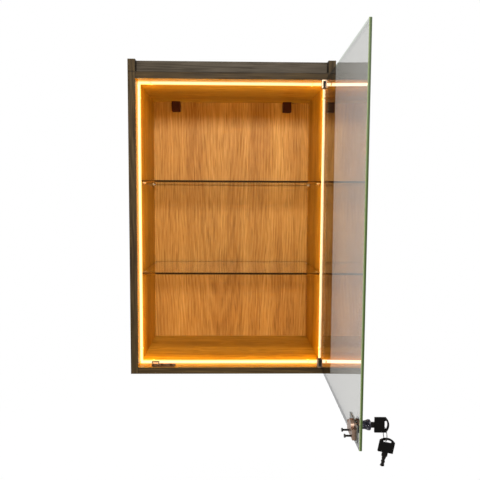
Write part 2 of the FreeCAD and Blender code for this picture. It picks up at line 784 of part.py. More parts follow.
# Light supply in the open tray behind the fascia: driver with ears and mains inlet, lead and grommet.
driver_block = box("driver_block", ("driver_left", "driver_length"), ("driver_front", "driver_width"),
                   ("crown_base", "driver_height"))
driver_top = measure("crown_base + driver_height")
driver_soft = rounded("driver_soft", driver_block, "driver_round",
                      lambda b: b.ZMax > driver_top - TOUCH)
ears = box("driver_ears", ("driver_left - driver_ear", "driver_length + 2 * driver_ear"),
           ("driver_front + driver_width / 2 - driver_ear_width / 2", "driver_ear_width"),
           ("crown_base", "driver_ear_height"))
driver_tools = [
    box("driver_inlet", ("lead_from_centre - inlet_width / 2", "inlet_width"),
        ("driver_front + driver_width - inlet_depth", "inlet_depth + overcut"),
        ("crown_base + driver_height / 2 - inlet_height / 2", "inlet_height")),
    rod("driver_lead_hole", "+Y", "lead_dia + 2 * lead_fit", "lead_grip + 2 * end_play + overcut",
        ("lead_from_centre", "driver_front - overcut", "crown_base + lead_height")),
]
driver_screws = []
for ear in (-1, 1):
    x = "lead_from_centre + %d * (driver_length + driver_ear) / 2" % ear
    y = "driver_front + driver_width / 2"
    driver_tools.append(rod("driver_ear_hole_%d" % (ear + 1), "+Z", "pilot",
                            "driver_ear_height + 2 * overcut", (x, y, "crown_base - overcut")))
    driver_screws.append(screw("driver_screw_%d" % (ear + 1), "+Z", (x, y, "crown_base + driver_ear_height"),
                               "screw_dia", "screw_grip", "screw_head_dia", "screw_head"))
finished("led_driver", cut("driver_cut", fuse("driver_body", driver_soft, ears), *driver_tools))
bundle("driver_screws", *driver_screws)

bend = doc.addObject("Part::Torus", "lead_bend_part")
bind(bend, "Radius1", "lead_bend")
bind(bend, "Radius2", "lead_dia / 2")
bend.Angle3 = 90.0
aimed(bend, turned_to(SOUTH, UP), "lead_from_centre", "led_middle + lead_bend",
      "crown_base + lead_height - lead_bend")
lead_run = rod("lead_run", "+Y", "lead_dia", "driver_gap - lead_bend + lead_grip",
               ("lead_from_centre", "led_middle + lead_bend", "crown_base + lead_height"))
lead_drop = rod("lead_drop", "-Z", "lead_dia", "deck_board + lead_height - lead_bend",
                ("lead_from_centre", "led_middle", "crown_base + lead_height - lead_bend"))
finished("led_lead", fuse("lead_whole", lead_run, bend, lead_drop))

grommet = spun("grommet", (("lead_dia / 2 + lead_fit", "0"), ("grommet_dia / 2", "0"),
                           ("grommet_dia / 2", "deck_board"), ("grommet_lip_dia / 2", "deck_board"),
                           ("grommet_lip_dia / 2", "deck_board + grommet_lip - grommet_chamfer"),
                           ("grommet_lip_dia / 2 - grommet_chamfer", "deck_board + grommet_lip"),
                           ("lead_dia / 2 + lead_fit", "deck_board + grommet_lip")))
finished("cable_grommet", aimed(grommet, AIM["+Z"], "lead_from_centre", "led_middle", "roof"))

# Strike plate on the bottom panel with a raised keeper that the bolt drops into.
keeper_left = "bolt_x - keeper_width / 2"
strike_base = box("strike_base", (keeper_left, "strike_length"), ("front + strike_setback", "strike_width"),
                  ("deck_top", "strike_plate"))
keeper_y = ("bolt_y - keeper_depth / 2", "keeper_depth")
keeper_block = box("keeper_block", (keeper_left, "keeper_width"), keeper_y, ("deck_top", "keeper_height"))
keeper_arch = box("keeper_arch", (keeper_left + " + strike_plate", "keeper_width - 2 * strike_plate"),
                  ("bolt_y - keeper_depth", "2 * keeper_depth"),
                  ("deck_top + strike_plate", "keeper_height - 2 * strike_plate"))
keeper_slot = box("keeper_slot", ("bolt_x - bolt_left - keeper_slot_play",
                                  "bolt_left + bolt_right + 2 * keeper_slot_play"),
                  ("bolt_y - bolt_thick / 2 - keeper_slot_play", "bolt_thick + 2 * keeper_slot_play"),
                  ("deck_top + strike_plate", "keeper_height"))
strike_tools = [keeper_arch, keeper_slot]
strike_screws = []
for pair in (0, 1):
    at = (keeper_left + " + strike_screw_near + %d * strike_screw_gap" % pair,
          "front + strike_screw_setback", "deck_top + strike_plate")
    strike_screws.append(screw("strike_screw_%d" % pair, "+Z", at, "screw_dia", "screw_grip",
                               "screw_head_dia", "screw_head"))
    strike_tools.append(rod("strike_hole_%d" % pair, "-Z", "pilot", "strike_plate + 2 * overcut",
                            (at[0], at[1], "deck_top + strike_plate + overcut")))
finished("strike_plate", cut("strike_cut", fuse("strike_body", strike_base, keeper_block), *strike_tools))
bundle("strike_screws", *strike_screws)

# Nylon hinge bushes pressed into the two decks.
BUSH_SECTION = (("pivot_dia / 2 + pivot_fit", "0"), ("bush_dia / 2", "0"), ("bush_dia / 2", "bush_depth"),
                ("0", "bush_depth"), ("0", "pivot_in_bush + end_play"),
                ("pivot_dia / 2 + pivot_fit", "pivot_in_bush + end_play"))
for deck, face, aim in (("top", "roof", "+Z"), ("bottom", "deck_top", "-Z")):
    bush = spun("bush_" + deck, BUSH_SECTION)
    finished("hinge_bush_" + deck, aimed(bush, AIM[aim], "pivot_x", "pivot_y", face))

# Door glass with the lock hole, drawn shut: the pivot axis at X = Y = 0, the free edge towards -X.
pane = box("pane", ("-door_reach", "door_reach + hinge_edge"), ("glass_out", "door_glass"),
           ("glass_low", "glass_high - glass_low"))
pane_hole = rod("pane_hole", "+Y", "glass_hole", "door_glass + 2 * overcut",
                ("lock_x", "glass_out - overcut", "lock_z"))
on_door("door_glass", cut("pane_cut", pane, pane_hole))

# Hinge clips over the glass edges: round end about the pivot, slot for glass and pads, pivot pin, grub.
hinge_pads = []
hinge_grubs = []
for deck, low, slot_low, cap_face, aim in (
        ("top", "roof - clip_gap - clip_height", "roof - clip_gap - clip_height", "roof - clip_gap", "-Z"),
        ("bottom", "deck_top + clip_gap", "deck_top + clip_gap + clip_cap", "deck_top + clip_gap", "+Z")):
    slot_height = "clip_height - clip_cap"
    bar = box("clip_%s_bar" % deck, ("-clip_reach", "clip_reach"), ("-clip_width / 2", "clip_width"),
              (low, "clip_height"))
    nose = rod("clip_%s_nose" % deck, "+Z", "clip_width", "clip_height", ("0", "0", low))
    cap_z = measure(cap_face)
    soft = rounded("clip_%s_soft" % deck, fuse("clip_%s_blank" % deck, bar, nose), "clip_round",
                   lambda b: abs(b.ZMin - cap_z) < TOUCH and abs(b.ZMax - cap_z) < TOUCH
                   and not (b.YLength > measure("clip_width") - TOUCH and b.XLength < TOUCH))
    slot_z = slot_low + " - overcut" if deck == "top" else slot_low
    slot = box("clip_%s_slot" % deck, ("-clip_reach - overcut", "clip_reach + hinge_edge + overcut"),
               ("-clip_slot / 2", "clip_slot"), (slot_z, slot_height + " + overcut"))
    pin_hole = rod("clip_%s_pin_hole" % deck, aim, "pivot_dia + 2 * bush_fit", "clip_cap + end_play",
                   ("0", "0", cap_face))
    grub_z = slot_low + " + (%s) / 2" % slot_height
    grub_hole = rod("clip_%s_grub_hole" % deck, "+Y", "grub_dia + 2 * thread_fit", "clip_width",
                    ("-grub_from_pivot", "clip_slot / 2 - end_play", grub_z))
    on_door("hinge_clip_" + deck, cut("clip_%s_cut" % deck, soft, slot, pin_hole, grub_hole))

    pin_aim = "+Z" if deck == "top" else "-Z"
    pin_foot = cap_face + (" - clip_cap" if deck == "top" else " + clip_cap")
    pin = spun("pivot_" + deck, (("0", "0"), ("pivot_dia / 2", "0"),
                                 ("pivot_dia / 2", "clip_cap + clip_gap + pivot_in_bush - pivot_chamfer"),
                                 ("pivot_dia / 2 - pivot_chamfer", "clip_cap + clip_gap + pivot_in_bush"),
                                 ("0", "clip_cap + clip_gap + pivot_in_bush")))
    on_door("hinge_pin_" + deck, aimed(pin, AIM[pin_aim], "0", "0", pin_foot))

    for face, y, thick in (("outer", "-clip_slot / 2", "clip_pad - glass_shift"),
                           ("inner", "glass_in", "clip_pad + glass_shift")):
        hinge_pads.append(box("clip_%s_%s_pad" % (deck, face), ("-clip_reach", "clip_reach + hinge_edge"),
                              (y, thick), (slot_low, slot_height)))
    grub_body = rod("grub_%s_body" % deck, "+Y", "grub_dia", "clip_width / 2 - clip_slot / 2",
                    ("-grub_from_pivot", "clip_slot / 2", grub_z))
    socket = doc.addObject("Part::Prism", "grub_%s_socket" % deck)
    socket.Polygon = 6
    bind(socket, "Circumradius", "grub_socket / 2")
    bind(socket, "Height", "clip_width / 4")
    aimed(socket, AIM["+Y"], "-grub_from_pivot", "clip_width / 2 - grub_socket_depth", grub_z)
    hinge_grubs.append(cut("grub_" + deck, grub_body, socket))
on_door("hinge_pads", *hinge_pads)
on_door("hinge_grubs", *hinge_grubs)

# Lock cylinder: flared knob, flange against the glass and a barrel through it, bored for the plug.
knob_length = "knob_rim + knob_flare + knob_waist"
barrel_end = knob_length + " + flange + gasket + door_glass + lock_pad + lock_plate"
cylinder = spun("cylinder", (
    ("plug_dia / 2 + plug_fit", "0"),
    ("knob_dia / 2 - knob_chamfer", "0"),
    ("knob_dia / 2", "knob_chamfer"),
    ("knob_dia / 2", "knob_rim - knob_chamfer"),
    ("knob_dia / 2 - knob_lip", "knob_rim"),
    ("knob_waist_dia / 2 + knob_cove", "knob_rim + knob_flare - knob_cove_run"),
    ("knob_waist_dia / 2", "knob_rim + knob_flare"),
    ("knob_waist_dia / 2", knob_length),
    ("flange_dia / 2 - knob_chamfer", knob_length),
    ("flange_dia / 2", knob_length + " + knob_chamfer"),
    ("flange_dia / 2", knob_length + " + flange"),
    ("barrel_dia / 2", knob_length + " + flange"),
    ("barrel_dia / 2", barrel_end),
    ("plug_dia / 2 + plug_fit", barrel_end),
))
on_door("lock_cylinder", aimed(cylinder, AIM["+Y"], "lock_x", "knob_out", "lock_z"))

gasket = spun("gasket_ring", (("barrel_dia / 2 + lead_fit", "0"), ("gasket_dia / 2", "0"),
                              ("gasket_dia / 2", "gasket"), ("barrel_dia / 2 + lead_fit", "gasket")))
on_door("lock_gasket", aimed(gasket, AIM["+Y"], "lock_x", "glass_out - gasket", "lock_z"))

# Soft pad and steel plate on the inner face of the glass.
pad_blank = box("lock_pad_blank",
                ("lock_x - plate_length / 2 + lock_pad_inset", "plate_length - 2 * lock_pad_inset"),
                ("glass_in", "lock_pad"),
                ("lock_z - plate_down + lock_pad_inset", "plate_down + plate_up - 2 * lock_pad_inset"))
pad_hole = rod("lock_pad_hole", "+Y", "glass_hole", "lock_pad + 2 * overcut",
               ("lock_x", "glass_in - overcut", "lock_z"))
on_door("lock_pad", cut("lock_pad_cut", pad_blank, pad_hole))
plate_blank = box("lock_plate_blank", ("lock_x - plate_length / 2", "plate_length"),
                  ("plate_in", "lock_plate"), ("lock_z - plate_down", "plate_down + plate_up"))
plate_tools = [rod("lock_plate_hole", "+Y", "barrel_dia + 2 * bush_fit", "lock_plate + 2 * overcut",
                   ("lock_x", "plate_in - overcut", "lock_z"))]

# Bolt case: a block with a round boss about the lock axis, hollow for the cam and the bolt.
case_block = box("case_block", ("lock_x - case_length / 2", "case_length"), ("case_in", "case_depth"),
                 ("lock_z - case_down", "case_down + case_up"))
case_back = measure("case_end")
case_soft = rounded("case_soft", case_block, "case_round",
                    lambda b: abs(b.YMax - case_back) < TOUCH and b.YLength < TOUCH)
case_boss = rod("case_boss", "+Y", "boss_dia", "case_depth", ("lock_x", "case_in", "lock_z"))
case_tools = [
    rod("case_bore", "+Y", "boss_bore", "case_depth - case_wall + overcut",
        ("lock_x", "case_in - overcut", "lock_z")),
    box("case_channel", ("lock_x - bolt_left - slide_play", "bolt_left + bolt_right + 2 * slide_play"),
        ("bolt_in - cam_gap", "case_end - case_wall - bolt_in + cam_gap"),
        ("lock_z - case_down - overcut", "case_down + overcut")),
]
case_screws = []
for pair in (-1, 1):
    x = "lock_x + %d * case_screw_gap / 2" % pair
    z = "lock_z - case_screw_drop"
    bore = "case_screw_dia + 2 * thread_fit"
    case_tools.append(rod("case_hole_%d" % (pair + 1), "+Y", bore, "case_depth + 2 * overcut",
                          (x, "case_in - overcut", z)))
    plate_tools.append(rod("plate_hole_%d" % (pair + 1), "+Y", bore, "lock_plate + 2 * overcut",
                           (x, "plate_in - overcut", z)))
    case_screws.append(screw("case_screw_%d" % (pair + 1), "+Y", (x, "case_end + case_screw_out", z),
                             "case_screw_dia", "case_screw_out + case_depth + lock_plate", "screw_head_dia",
                             "case_screw_head"))
on_door("lock_plate", cut("lock_plate_cut", plate_blank, *plate_tools))
on_door("lock_case", cut("case_cut", fuse("case_blank", case_soft, case_boss), *case_tools))
on_door("lock_screws", *case_screws)

# Plug with its keyway and tail, and the cam whose pin drives the bolt.
plug_body = rod("plug_body", "+Y", "plug_dia", "case_in - knob_out - plug_recess",
                ("lock_x", "knob_out + plug_recess", "lock_z"))
plug_tail = rod("plug_tail", "+Y", "tail_dia", "cam_gap + cam_disc", ("lock_x", "case_in", "lock_z"))
keyway = box("keyway", ("lock_x - keyway_width / 2", "keyway_width"),
             ("knob_out", "key_blade_length + key_end_play"), ("lock_z - keyway_height / 2", "keyway_height"))
on_door("lock_plug", cut("plug_cut", fuse("plug_blank", plug_body, plug_tail), keyway))
cam_disc = rod("cam_disc_part", "+Y", "cam_dia", "cam_disc", ("lock_x", "cam_in", "lock_z"))
cam_pin = rod("cam_pin", "+Y", "drive_pin_dia", "cam_disc + cam_gap + bolt_thick",
              ("lock_x + drive_half", "cam_in", "lock_z + drive_half"))
cam_hole = rod("cam_hole", "+Y", "tail_dia + 2 * bush_fit", "cam_disc + 2 * overcut",
               ("lock_x", "cam_in - overcut", "lock_z"))
on_door("lock_cam", cut("cam_cut", fuse("cam_blank", cam_disc, cam_pin), cam_hole))

# Flat bolt with a side notch for the cam pin and a bevelled nose.
bolt = extruded("bolt_flat", (
    ("-bolt_left", "bolt_chamfer - case_down"),
    ("bolt_chamfer - bolt_left", "-case_down"),
    ("bolt_right - bolt_chamfer", "-case_down"),
    ("bolt_right", "bolt_chamfer - case_down"),
    ("bolt_right", "drive_half - notch / 2"),
    ("drive_half - notch / 2 - slide_play", "drive_half - notch / 2"),
    ("drive_half - notch / 2 - slide_play", "drive_half + notch / 2"),
    ("bolt_right - hook_chamfer", "drive_half + notch / 2"),
    ("bolt_right - bolt_chamfer", "bolt_top"),
    ("-bolt_left", "bolt_top"),
), "bolt_thick")
on_door("lock_bolt", aimed(bolt, turned_to(EAST, UP), "lock_x", "bolt_in + bolt_thick", "lock_z"))


KEY_CUTS = (2, 4, 1, 3, 1)


def key_blank(name):
    """Key along +Y from the outer end of its head: a flat blade and a moulded head with a loop.

    Both edges of the blade are cut alike, to depths given in quarters of the deepest cut.
    """
    half = "key_blade_height / 2"
    root = "key_head_length + key_shoulder"
    tip = root + " + key_gap + key_blade_length"
    spots = [root + " + key_gap + key_cut_start + %d * key_cut_step" % turn for turn in range(len(KEY_CUTS))]
    cuts = ["%s - key_bit * %d / 4" % (half, depth) for depth in KEY_CUTS]
    rows = [("key_head_length - key_tang", "-key_tang_height / 2"),
            ("key_head_length", "-key_tang_height / 2"),
            ("key_head_length", "-key_shoulder_height / 2"),
            (root, "-key_shoulder_height / 2"),
            (root, "-%s" % half)]
    rows += [(spot, "-(%s)" % cut_edge) for spot, cut_edge in zip(spots, cuts)]
    rows += [(tip + " - key_tip", "-%s" % half), (tip, "0"), (tip + " - key_tip", half)]
    rows += [(spot, cut_edge) for spot, cut_edge in zip(reversed(spots), cuts)]
    rows += [(root, half),
             (root, "key_shoulder_height / 2"),
             ("key_head_length", "key_shoulder_height / 2"),
             ("key_head_length", "key_tang_height / 2"),
             ("key_head_length - key_tang", "key_tang_height / 2")]
    blade = extruded(name + "_flat", rows, "key_thick")
    aimed(blade, turned_to(NORTH, UP), "-key_thick / 2", "0", "0")

    block = box(name + "_block", ("-key_head_thick / 2", "key_head_thick"), ("0", "key_head_length"),
                ("-key_head_height / 2", "key_head_height"))
    arc = rod(name + "_arc", "+X", "2 * key_head_arc", "key_head_thick + 2 * overcut",
              ("-key_head_thick / 2 - overcut", "key_head_arc", "0"))
    slot_block = box(name + "_slot_block", ("-key_head_thick", "2 * key_head_thick"),
                     ("key_loop_wall", "key_loop_width"), ("-key_loop_height / 2", "key_loop_height"))
    slot_arc = rod(name + "_slot_arc", "+X", "2 * (key_head_arc - key_loop_wall)",
                   "2 * key_head_thick + 2 * overcut", ("-key_head_thick - overcut", "key_head_arc", "0"))
    pocket = box(name + "_pocket", ("-key_thick / 2", "key_thick"),
                 ("key_head_length - key_tang", "key_tang + overcut"),
                 ("-key_tang_height / 2", "key_tang_height"))
    shape = common(name + "_shape", block, arc)
    grip = cut(name + "_grip", shape, common(name + "_slot", slot_block, slot_arc), pocket)
    return blade, grip


def carried(name, thing, tilt, y, z):
    """Lay a key on the lock's centre plane, tipped about the door's length."""
    holder = doc.addObject("Part::Compound", name)
    holder.Links = [thing]
    holder.Placement = FreeCAD.Placement(FreeCAD.Vector(), FreeCAD.Rotation(EAST, 1))
    bind(holder, "Placement.Rotation.Angle", tilt)
    place(holder, "lock_x", y, z)
    return holder


# Key in the lock, split ring through its loop and the spare key hung on the ring.
blade, grip = key_blank("key")
on_door("key_blade", carried("key_blade_holder", blade, "0", "key_end", "lock_z"))
on_door("key_head", carried("key_head_holder", grip, "0", "key_end", "lock_z"))

coil = "ring_width / 4"
ring = spun("split_ring", (
    ("ring_dia / 2 - ring_wire / 2", "-%s" % coil),
    ("ring_dia / 2 - ring_wire / 4", "-ring_width / 2"),
    ("ring_dia / 2 + ring_wire / 4", "-ring_width / 2"),
    ("ring_dia / 2 + ring_wire / 2", "-%s" % coil),
    ("ring_dia / 2 + ring_wire / 4", "0"),
    ("ring_dia / 2 + ring_wire / 2", coil),
    ("ring_dia / 2 + ring_wire / 4", "ring_width / 2"),
    ("ring_dia / 2 - ring_wire / 4", "ring_width / 2"),
    ("ring_dia / 2 - ring_wire / 2", coil),
    ("ring_dia / 2 - ring_wire / 4", "0"),
))
ring_holder = doc.addObject("Part::Compound", "ring_holder")
ring_holder.Links = [aimed(ring, AIM["+Y"], "0", "0", "0")]
ring_holder.Placement = FreeCAD.Placement(FreeCAD.Vector(), FreeCAD.Rotation(UP, 1))
bind(ring_holder, "Placement.Rotation.Angle", "ring_turn")
place(ring_holder, "lock_x", "ring_y", "ring_top - ring_dia / 2")
on_door("key_ring", ring_holder)

spare_blade, spare_grip = key_blank("spare")
on_door("spare_blade", carried("spare_blade_holder", spare_blade, "spare_tilt - 90", "spare_y", "spare_z"))
on_door("spare_head", carried("spare_head_holder", spare_grip, "spare_tilt - 90", "spare_y", "spare_z"))

doc.recompute()
for thing in doc.Objects:
    if "Invalid" in thing.State or "Error" in thing.State:
        raise RuntimeError("%s does not build" % thing.Label)
for thing in parts:
    if thing.Shape.isNull() or not thing.Shape.isValid():
        raise RuntimeError("%s has no sound shape" % thing.Label)
os.makedirs("parts", exist_ok=True)
for thing in parts:
    thing.Shape.exportStep("parts/%s.step" % thing.Label)
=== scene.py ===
import json
import math

import bpy
from mathutils import Matrix, Vector


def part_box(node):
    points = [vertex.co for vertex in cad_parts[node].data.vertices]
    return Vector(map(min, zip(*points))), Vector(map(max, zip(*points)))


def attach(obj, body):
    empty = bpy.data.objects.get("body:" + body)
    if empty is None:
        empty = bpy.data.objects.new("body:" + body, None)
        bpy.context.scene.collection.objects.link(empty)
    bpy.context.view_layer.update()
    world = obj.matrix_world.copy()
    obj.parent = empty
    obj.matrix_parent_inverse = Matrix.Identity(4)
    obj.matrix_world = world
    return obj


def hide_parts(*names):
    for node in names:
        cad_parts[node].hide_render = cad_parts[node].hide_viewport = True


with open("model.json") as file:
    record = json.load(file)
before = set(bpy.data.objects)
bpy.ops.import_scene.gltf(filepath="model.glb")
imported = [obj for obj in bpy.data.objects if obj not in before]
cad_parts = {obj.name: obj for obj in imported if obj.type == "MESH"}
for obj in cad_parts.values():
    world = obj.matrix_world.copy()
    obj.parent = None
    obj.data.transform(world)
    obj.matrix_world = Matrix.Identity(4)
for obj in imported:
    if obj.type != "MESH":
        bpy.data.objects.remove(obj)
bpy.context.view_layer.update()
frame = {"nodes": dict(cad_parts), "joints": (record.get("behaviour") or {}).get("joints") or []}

bpy.ops.object.select_all(action="DESELECT")

# Side boards: 18 mm pressed-chip boards with an oak print on the face that looks into the case and a
# dark wood print outside. They stand on edge, the grain runs upright, and the rear edge is left raw.
DARK_TONES = (46, 39, 29), (79, 69, 55), (96, 85, 70), (119, 106, 88)
OAK_TONES = (108, 73, 16), (167, 123, 39), (195, 152, 55), (224, 182, 79)
CHIP_TONES = (120, 92, 62), (171, 139, 99), (205, 178, 138)
RUBBED_BOARD = (150, 128, 104)
SKIN = 0.0003
BOARD_ARRIS = 0.0008
BOARD_SHINE = 0.08
BOARD_GLOSS = 0.42, 0.68
RAW_CHIPS = (0.9, 0.9, 0.9, 1.0)
BOARD_BUMP = {"strength": 0.22, "distance": 0.0004}
BOARD_PRINT = {"streaks": 330.0, "arches": 40.0, "pore_depth": 0.5}
BOARD_RUB = 0.35
GRAIN_SWAY = 0.008
GRAIN_SLANT = 0.085
SWAY_DRAWN, STREAK_DRAWN, DRIFT_DRAWN, PORE_DRAWN = ((1, 1, along) for along in (0.3, 0.03, 0.07, 0.035))
PORE_SPAN = 0.57, 0.66
ARCH_SHARE, FIBRE_SHARE = 0.12, 0.22
DRIFT_SHARE = -0.14, 0.36
STREAK_SHARE = 0.0, 0.44
CHIP_SQUEEZE = (1, 1, 2.2)
CHIP_SIZE, DUST_SIZE, DUST_SHARE = 420.0, 900.0, 0.35
RUB_SPAN = 0.985, 0.86
CLOUD_SPAN = 0.3, 0.7
AS_IT_IS = (1, 1, 1)


def paint(red, green, blue):
    """A swatch colour of 0 to 255 a channel, as the shader takes it."""
    shares = [channel / 255 for channel in (red, green, blue)]
    return [s / 12.92 if s < 0.04 else ((s + 0.055) / 1.055) ** 2.4 for s in shares] + [1.0]


def feed(tree, socket, value):
    """Link a socket to another one, or set its plain value."""
    if isinstance(value, bpy.types.NodeSocket):
        tree.links.new(value, socket)
    else:
        socket.default_value = value


def node(tree, kind, sockets, **settings):
    """A new node with its settings made and its sockets fed."""
    made = tree.nodes.new("ShaderNode" + kind)
    for setting, value in settings.items():
        setattr(made, setting, value)
    for socket, value in sockets.items():
        feed(tree, made.inputs[socket], value)
    return made


def maths(tree, operation, *values):
    """One step of arithmetic."""
    return node(tree, "Math", dict(enumerate(values)), operation=operation).outputs[0]


def spread(tree, value, low, high, to_low=0.0, to_high=1.0):
    """Carry a value from one span to another, held at both ends."""
    spans = {"Value": value, "From Min": low, "From Max": high, "To Min": to_low, "To Max": to_high}
    return node(tree, "MapRange", spans).outputs[0]


def stretched(tree, place, scale, turn=(0, 0, 0), shift=(0, 0, 0)):
    """A place in the pattern, stretched, turned and shifted."""
    moves = {"Vector": place, "Location": shift, "Rotation": turn, "Scale": scale}
    return node(tree, "Mapping", moves).outputs[0]


def cloud(tree, place, scale, detail=2.0, rough=0.5):
    """Soft random blotches between 0 and 1."""
    looks = {"Vector": place, "Scale": scale, "Detail": detail, "Roughness": rough}
    return node(tree, "TexNoise", looks).outputs[0]


def laid(tree, share, under, over):
    """One colour laid over another by a share."""
    return node(tree, "Mix", {0: share, 6: under, 7: over}, data_type="RGBA").outputs[2]


def toned(tree, value, tones):
    """A run of swatch colours, at even steps of a value."""
    ramp = node(tree, "ValToRGB", {0: value})
    stops = ramp.color_ramp.elements
    stops[0].color, stops[1].color = paint(*tones[0]), paint(*tones[-1])
    for step, tone in enumerate(tones[1:-1], 1):
        stops.new(step / (len(tones) - 1)).color = paint(*tone)
    return ramp.outputs[0]


def axes(tree, place):
    """The X, Y and Z of a place."""
    return node(tree, "SeparateXYZ", {0: place}).outputs


def bumped(tree, shader, relief, strength, distance, normal=None):
    """Push a shader's normal by a relief, on top of a normal where one is given."""
    sockets = {"Height": relief, "Strength": strength, "Distance": distance}
    if normal is not None:
        sockets["Normal"] = normal
    feed(tree, shader.inputs["Normal"], node(tree, "Bump", sockets).outputs[0])


def effect(name, takes, gives):
    """An empty node group with its named inputs and outputs."""
    tree = bpy.data.node_groups.new(name, "ShaderNodeTree")
    for socket, kind in takes.items():
        tree.interface.new_socket(socket, in_out="INPUT", socket_type="NodeSocket" + kind)
    for socket, kind in gives.items():
        tree.interface.new_socket(socket, in_out="OUTPUT", socket_type="NodeSocket" + kind)
    return tree, tree.nodes.new("NodeGroupInput").outputs, tree.nodes.new("NodeGroupOutput").inputs


def shared(tree, group, sockets):
    """The outputs of a shared effect, fed in a material."""
    return node(tree, "Group", sockets, node_tree=group).outputs


def new_finish(name):
    """A material, its node tree, its shader and the place on the piece."""
    finish = bpy.data.materials.new(name)
    finish.use_nodes = True
    tree = finish.node_tree
    place = node(tree, "TexCoord", {}).outputs["Object"]
    return finish, tree, tree.nodes["Principled BSDF"], place


def dress(finish, *names):
    """Give a finish to nodes of the frame."""
    for name in names:
        skins = frame["nodes"][name].data.materials
        skins.clear()
        skins.append(finish)


wood_figure, given, shown = effect(
    "wood_figure", {"Place": "Vector", "Streaks": "Float", "Arches": "Float"},
    {"Tone": "Float", "Pores": "Float", "Relief": "Float"})
sway = cloud(wood_figure, stretched(wood_figure, given["Place"], SWAY_DRAWN), scale=11.0)
sway = spread(wood_figure, sway, 0.2, 0.8, -GRAIN_SWAY, GRAIN_SWAY)
lean = node(wood_figure, "CombineXYZ", {"X": sway}).outputs[0]
grown = node(wood_figure, "VectorMath", {0: given["Place"], 1: lean}, operation="ADD").outputs[0]
parts = axes(wood_figure, grown)
slant = maths(wood_figure, "MULTIPLY", parts["Z"], GRAIN_SLANT)
leant = maths(wood_figure, "ADD", parts["Y"], slant)
cone = node(wood_figure, "CombineXYZ", {"X": parts["X"], "Y": leant}).outputs[0]
arches = node(wood_figure, "TexWave", {
    "Vector": cone, "Scale": given["Arches"], "Distortion": 1.6, "Detail": 3.0, "Detail Scale": 2.0,
    "Detail Roughness": 0.6}, wave_type="RINGS", rings_direction="Z").outputs["Fac"]
drawn = stretched(wood_figure, grown, STREAK_DRAWN)
streaks = cloud(wood_figure, drawn, given["Streaks"], detail=6.0, rough=0.72)
drift = cloud(wood_figure, stretched(wood_figure, grown, DRIFT_DRAWN), scale=16.0, detail=3.0)
fibre_size = maths(wood_figure, "MULTIPLY", given["Streaks"], 4.0)
fibres = cloud(wood_figure, stretched(wood_figure, given["Place"], STREAK_DRAWN), fibre_size)
pore_size = maths(wood_figure, "MULTIPLY", given["Streaks"], 1.3)
dashes = cloud(wood_figure, stretched(wood_figure, grown, PORE_DRAWN), pore_size, detail=1.0)
pores = spread(wood_figure, dashes, *PORE_SPAN)
grain = maths(wood_figure, "ADD", maths(wood_figure, "MULTIPLY", arches, ARCH_SHARE),
              spread(wood_figure, drift, *CLOUD_SPAN, *DRIFT_SHARE))
grain = maths(wood_figure, "ADD", grain, maths(wood_figure, "MULTIPLY", fibres, FIBRE_SHARE))
tone = maths(wood_figure, "ADD", grain, spread(wood_figure, streaks, *CLOUD_SPAN, *STREAK_SHARE))
feed(wood_figure, shown["Tone"], tone)
feed(wood_figure, shown["Pores"], pores)
feed(wood_figure, shown["Relief"], maths(wood_figure, "SUBTRACT", fibres, pores))

chip_core, given, shown = effect(
    "chip_core", {"Place": "Vector"}, {"Tone": "Float", "Relief": "Float"})
pressed = stretched(chip_core, given["Place"], CHIP_SQUEEZE)
flakes = node(chip_core, "TexVoronoi", {"Vector": pressed, "Scale": CHIP_SIZE}).outputs
speck = node(chip_core, "SeparateColor", {0: flakes["Color"]}).outputs[0]
dust = cloud(chip_core, given["Place"], DUST_SIZE, detail=3.0)
feed(chip_core, shown["Tone"], laid(chip_core, DUST_SHARE, speck, dust))
feed(chip_core, shown["Relief"], flakes["Distance"])

soft_edge, given, shown = effect(
    "soft_edge", {"Radius": "Float"}, {"Normal": "Vector", "Rub": "Float"})
rounding = node(soft_edge, "Bevel", {"Radius": given["Radius"]}, samples=6).outputs[0]
facing = node(soft_edge, "NewGeometry", {}).outputs["Normal"]
bend = node(soft_edge, "VectorMath", {0: rounding, 1: facing}, operation="DOT_PRODUCT").outputs["Value"]
feed(soft_edge, shown["Normal"], rounding)
feed(soft_edge, shown["Rub"], spread(soft_edge, bend, *RUB_SPAN))


def wood_print(tree, place, tones, streaks, arches, pore_depth):
    """Colour, gloss break and relief of a wood print, its grain along the Z of place."""
    figure = shared(tree, wood_figure, {"Place": place, "Streaks": streaks, "Arches": arches})
    colour = toned(tree, figure["Tone"], tones)
    pores = maths(tree, "MULTIPLY", figure["Pores"], pore_depth)
    return laid(tree, pores, colour, paint(*tones[0])), pores, figure["Relief"]


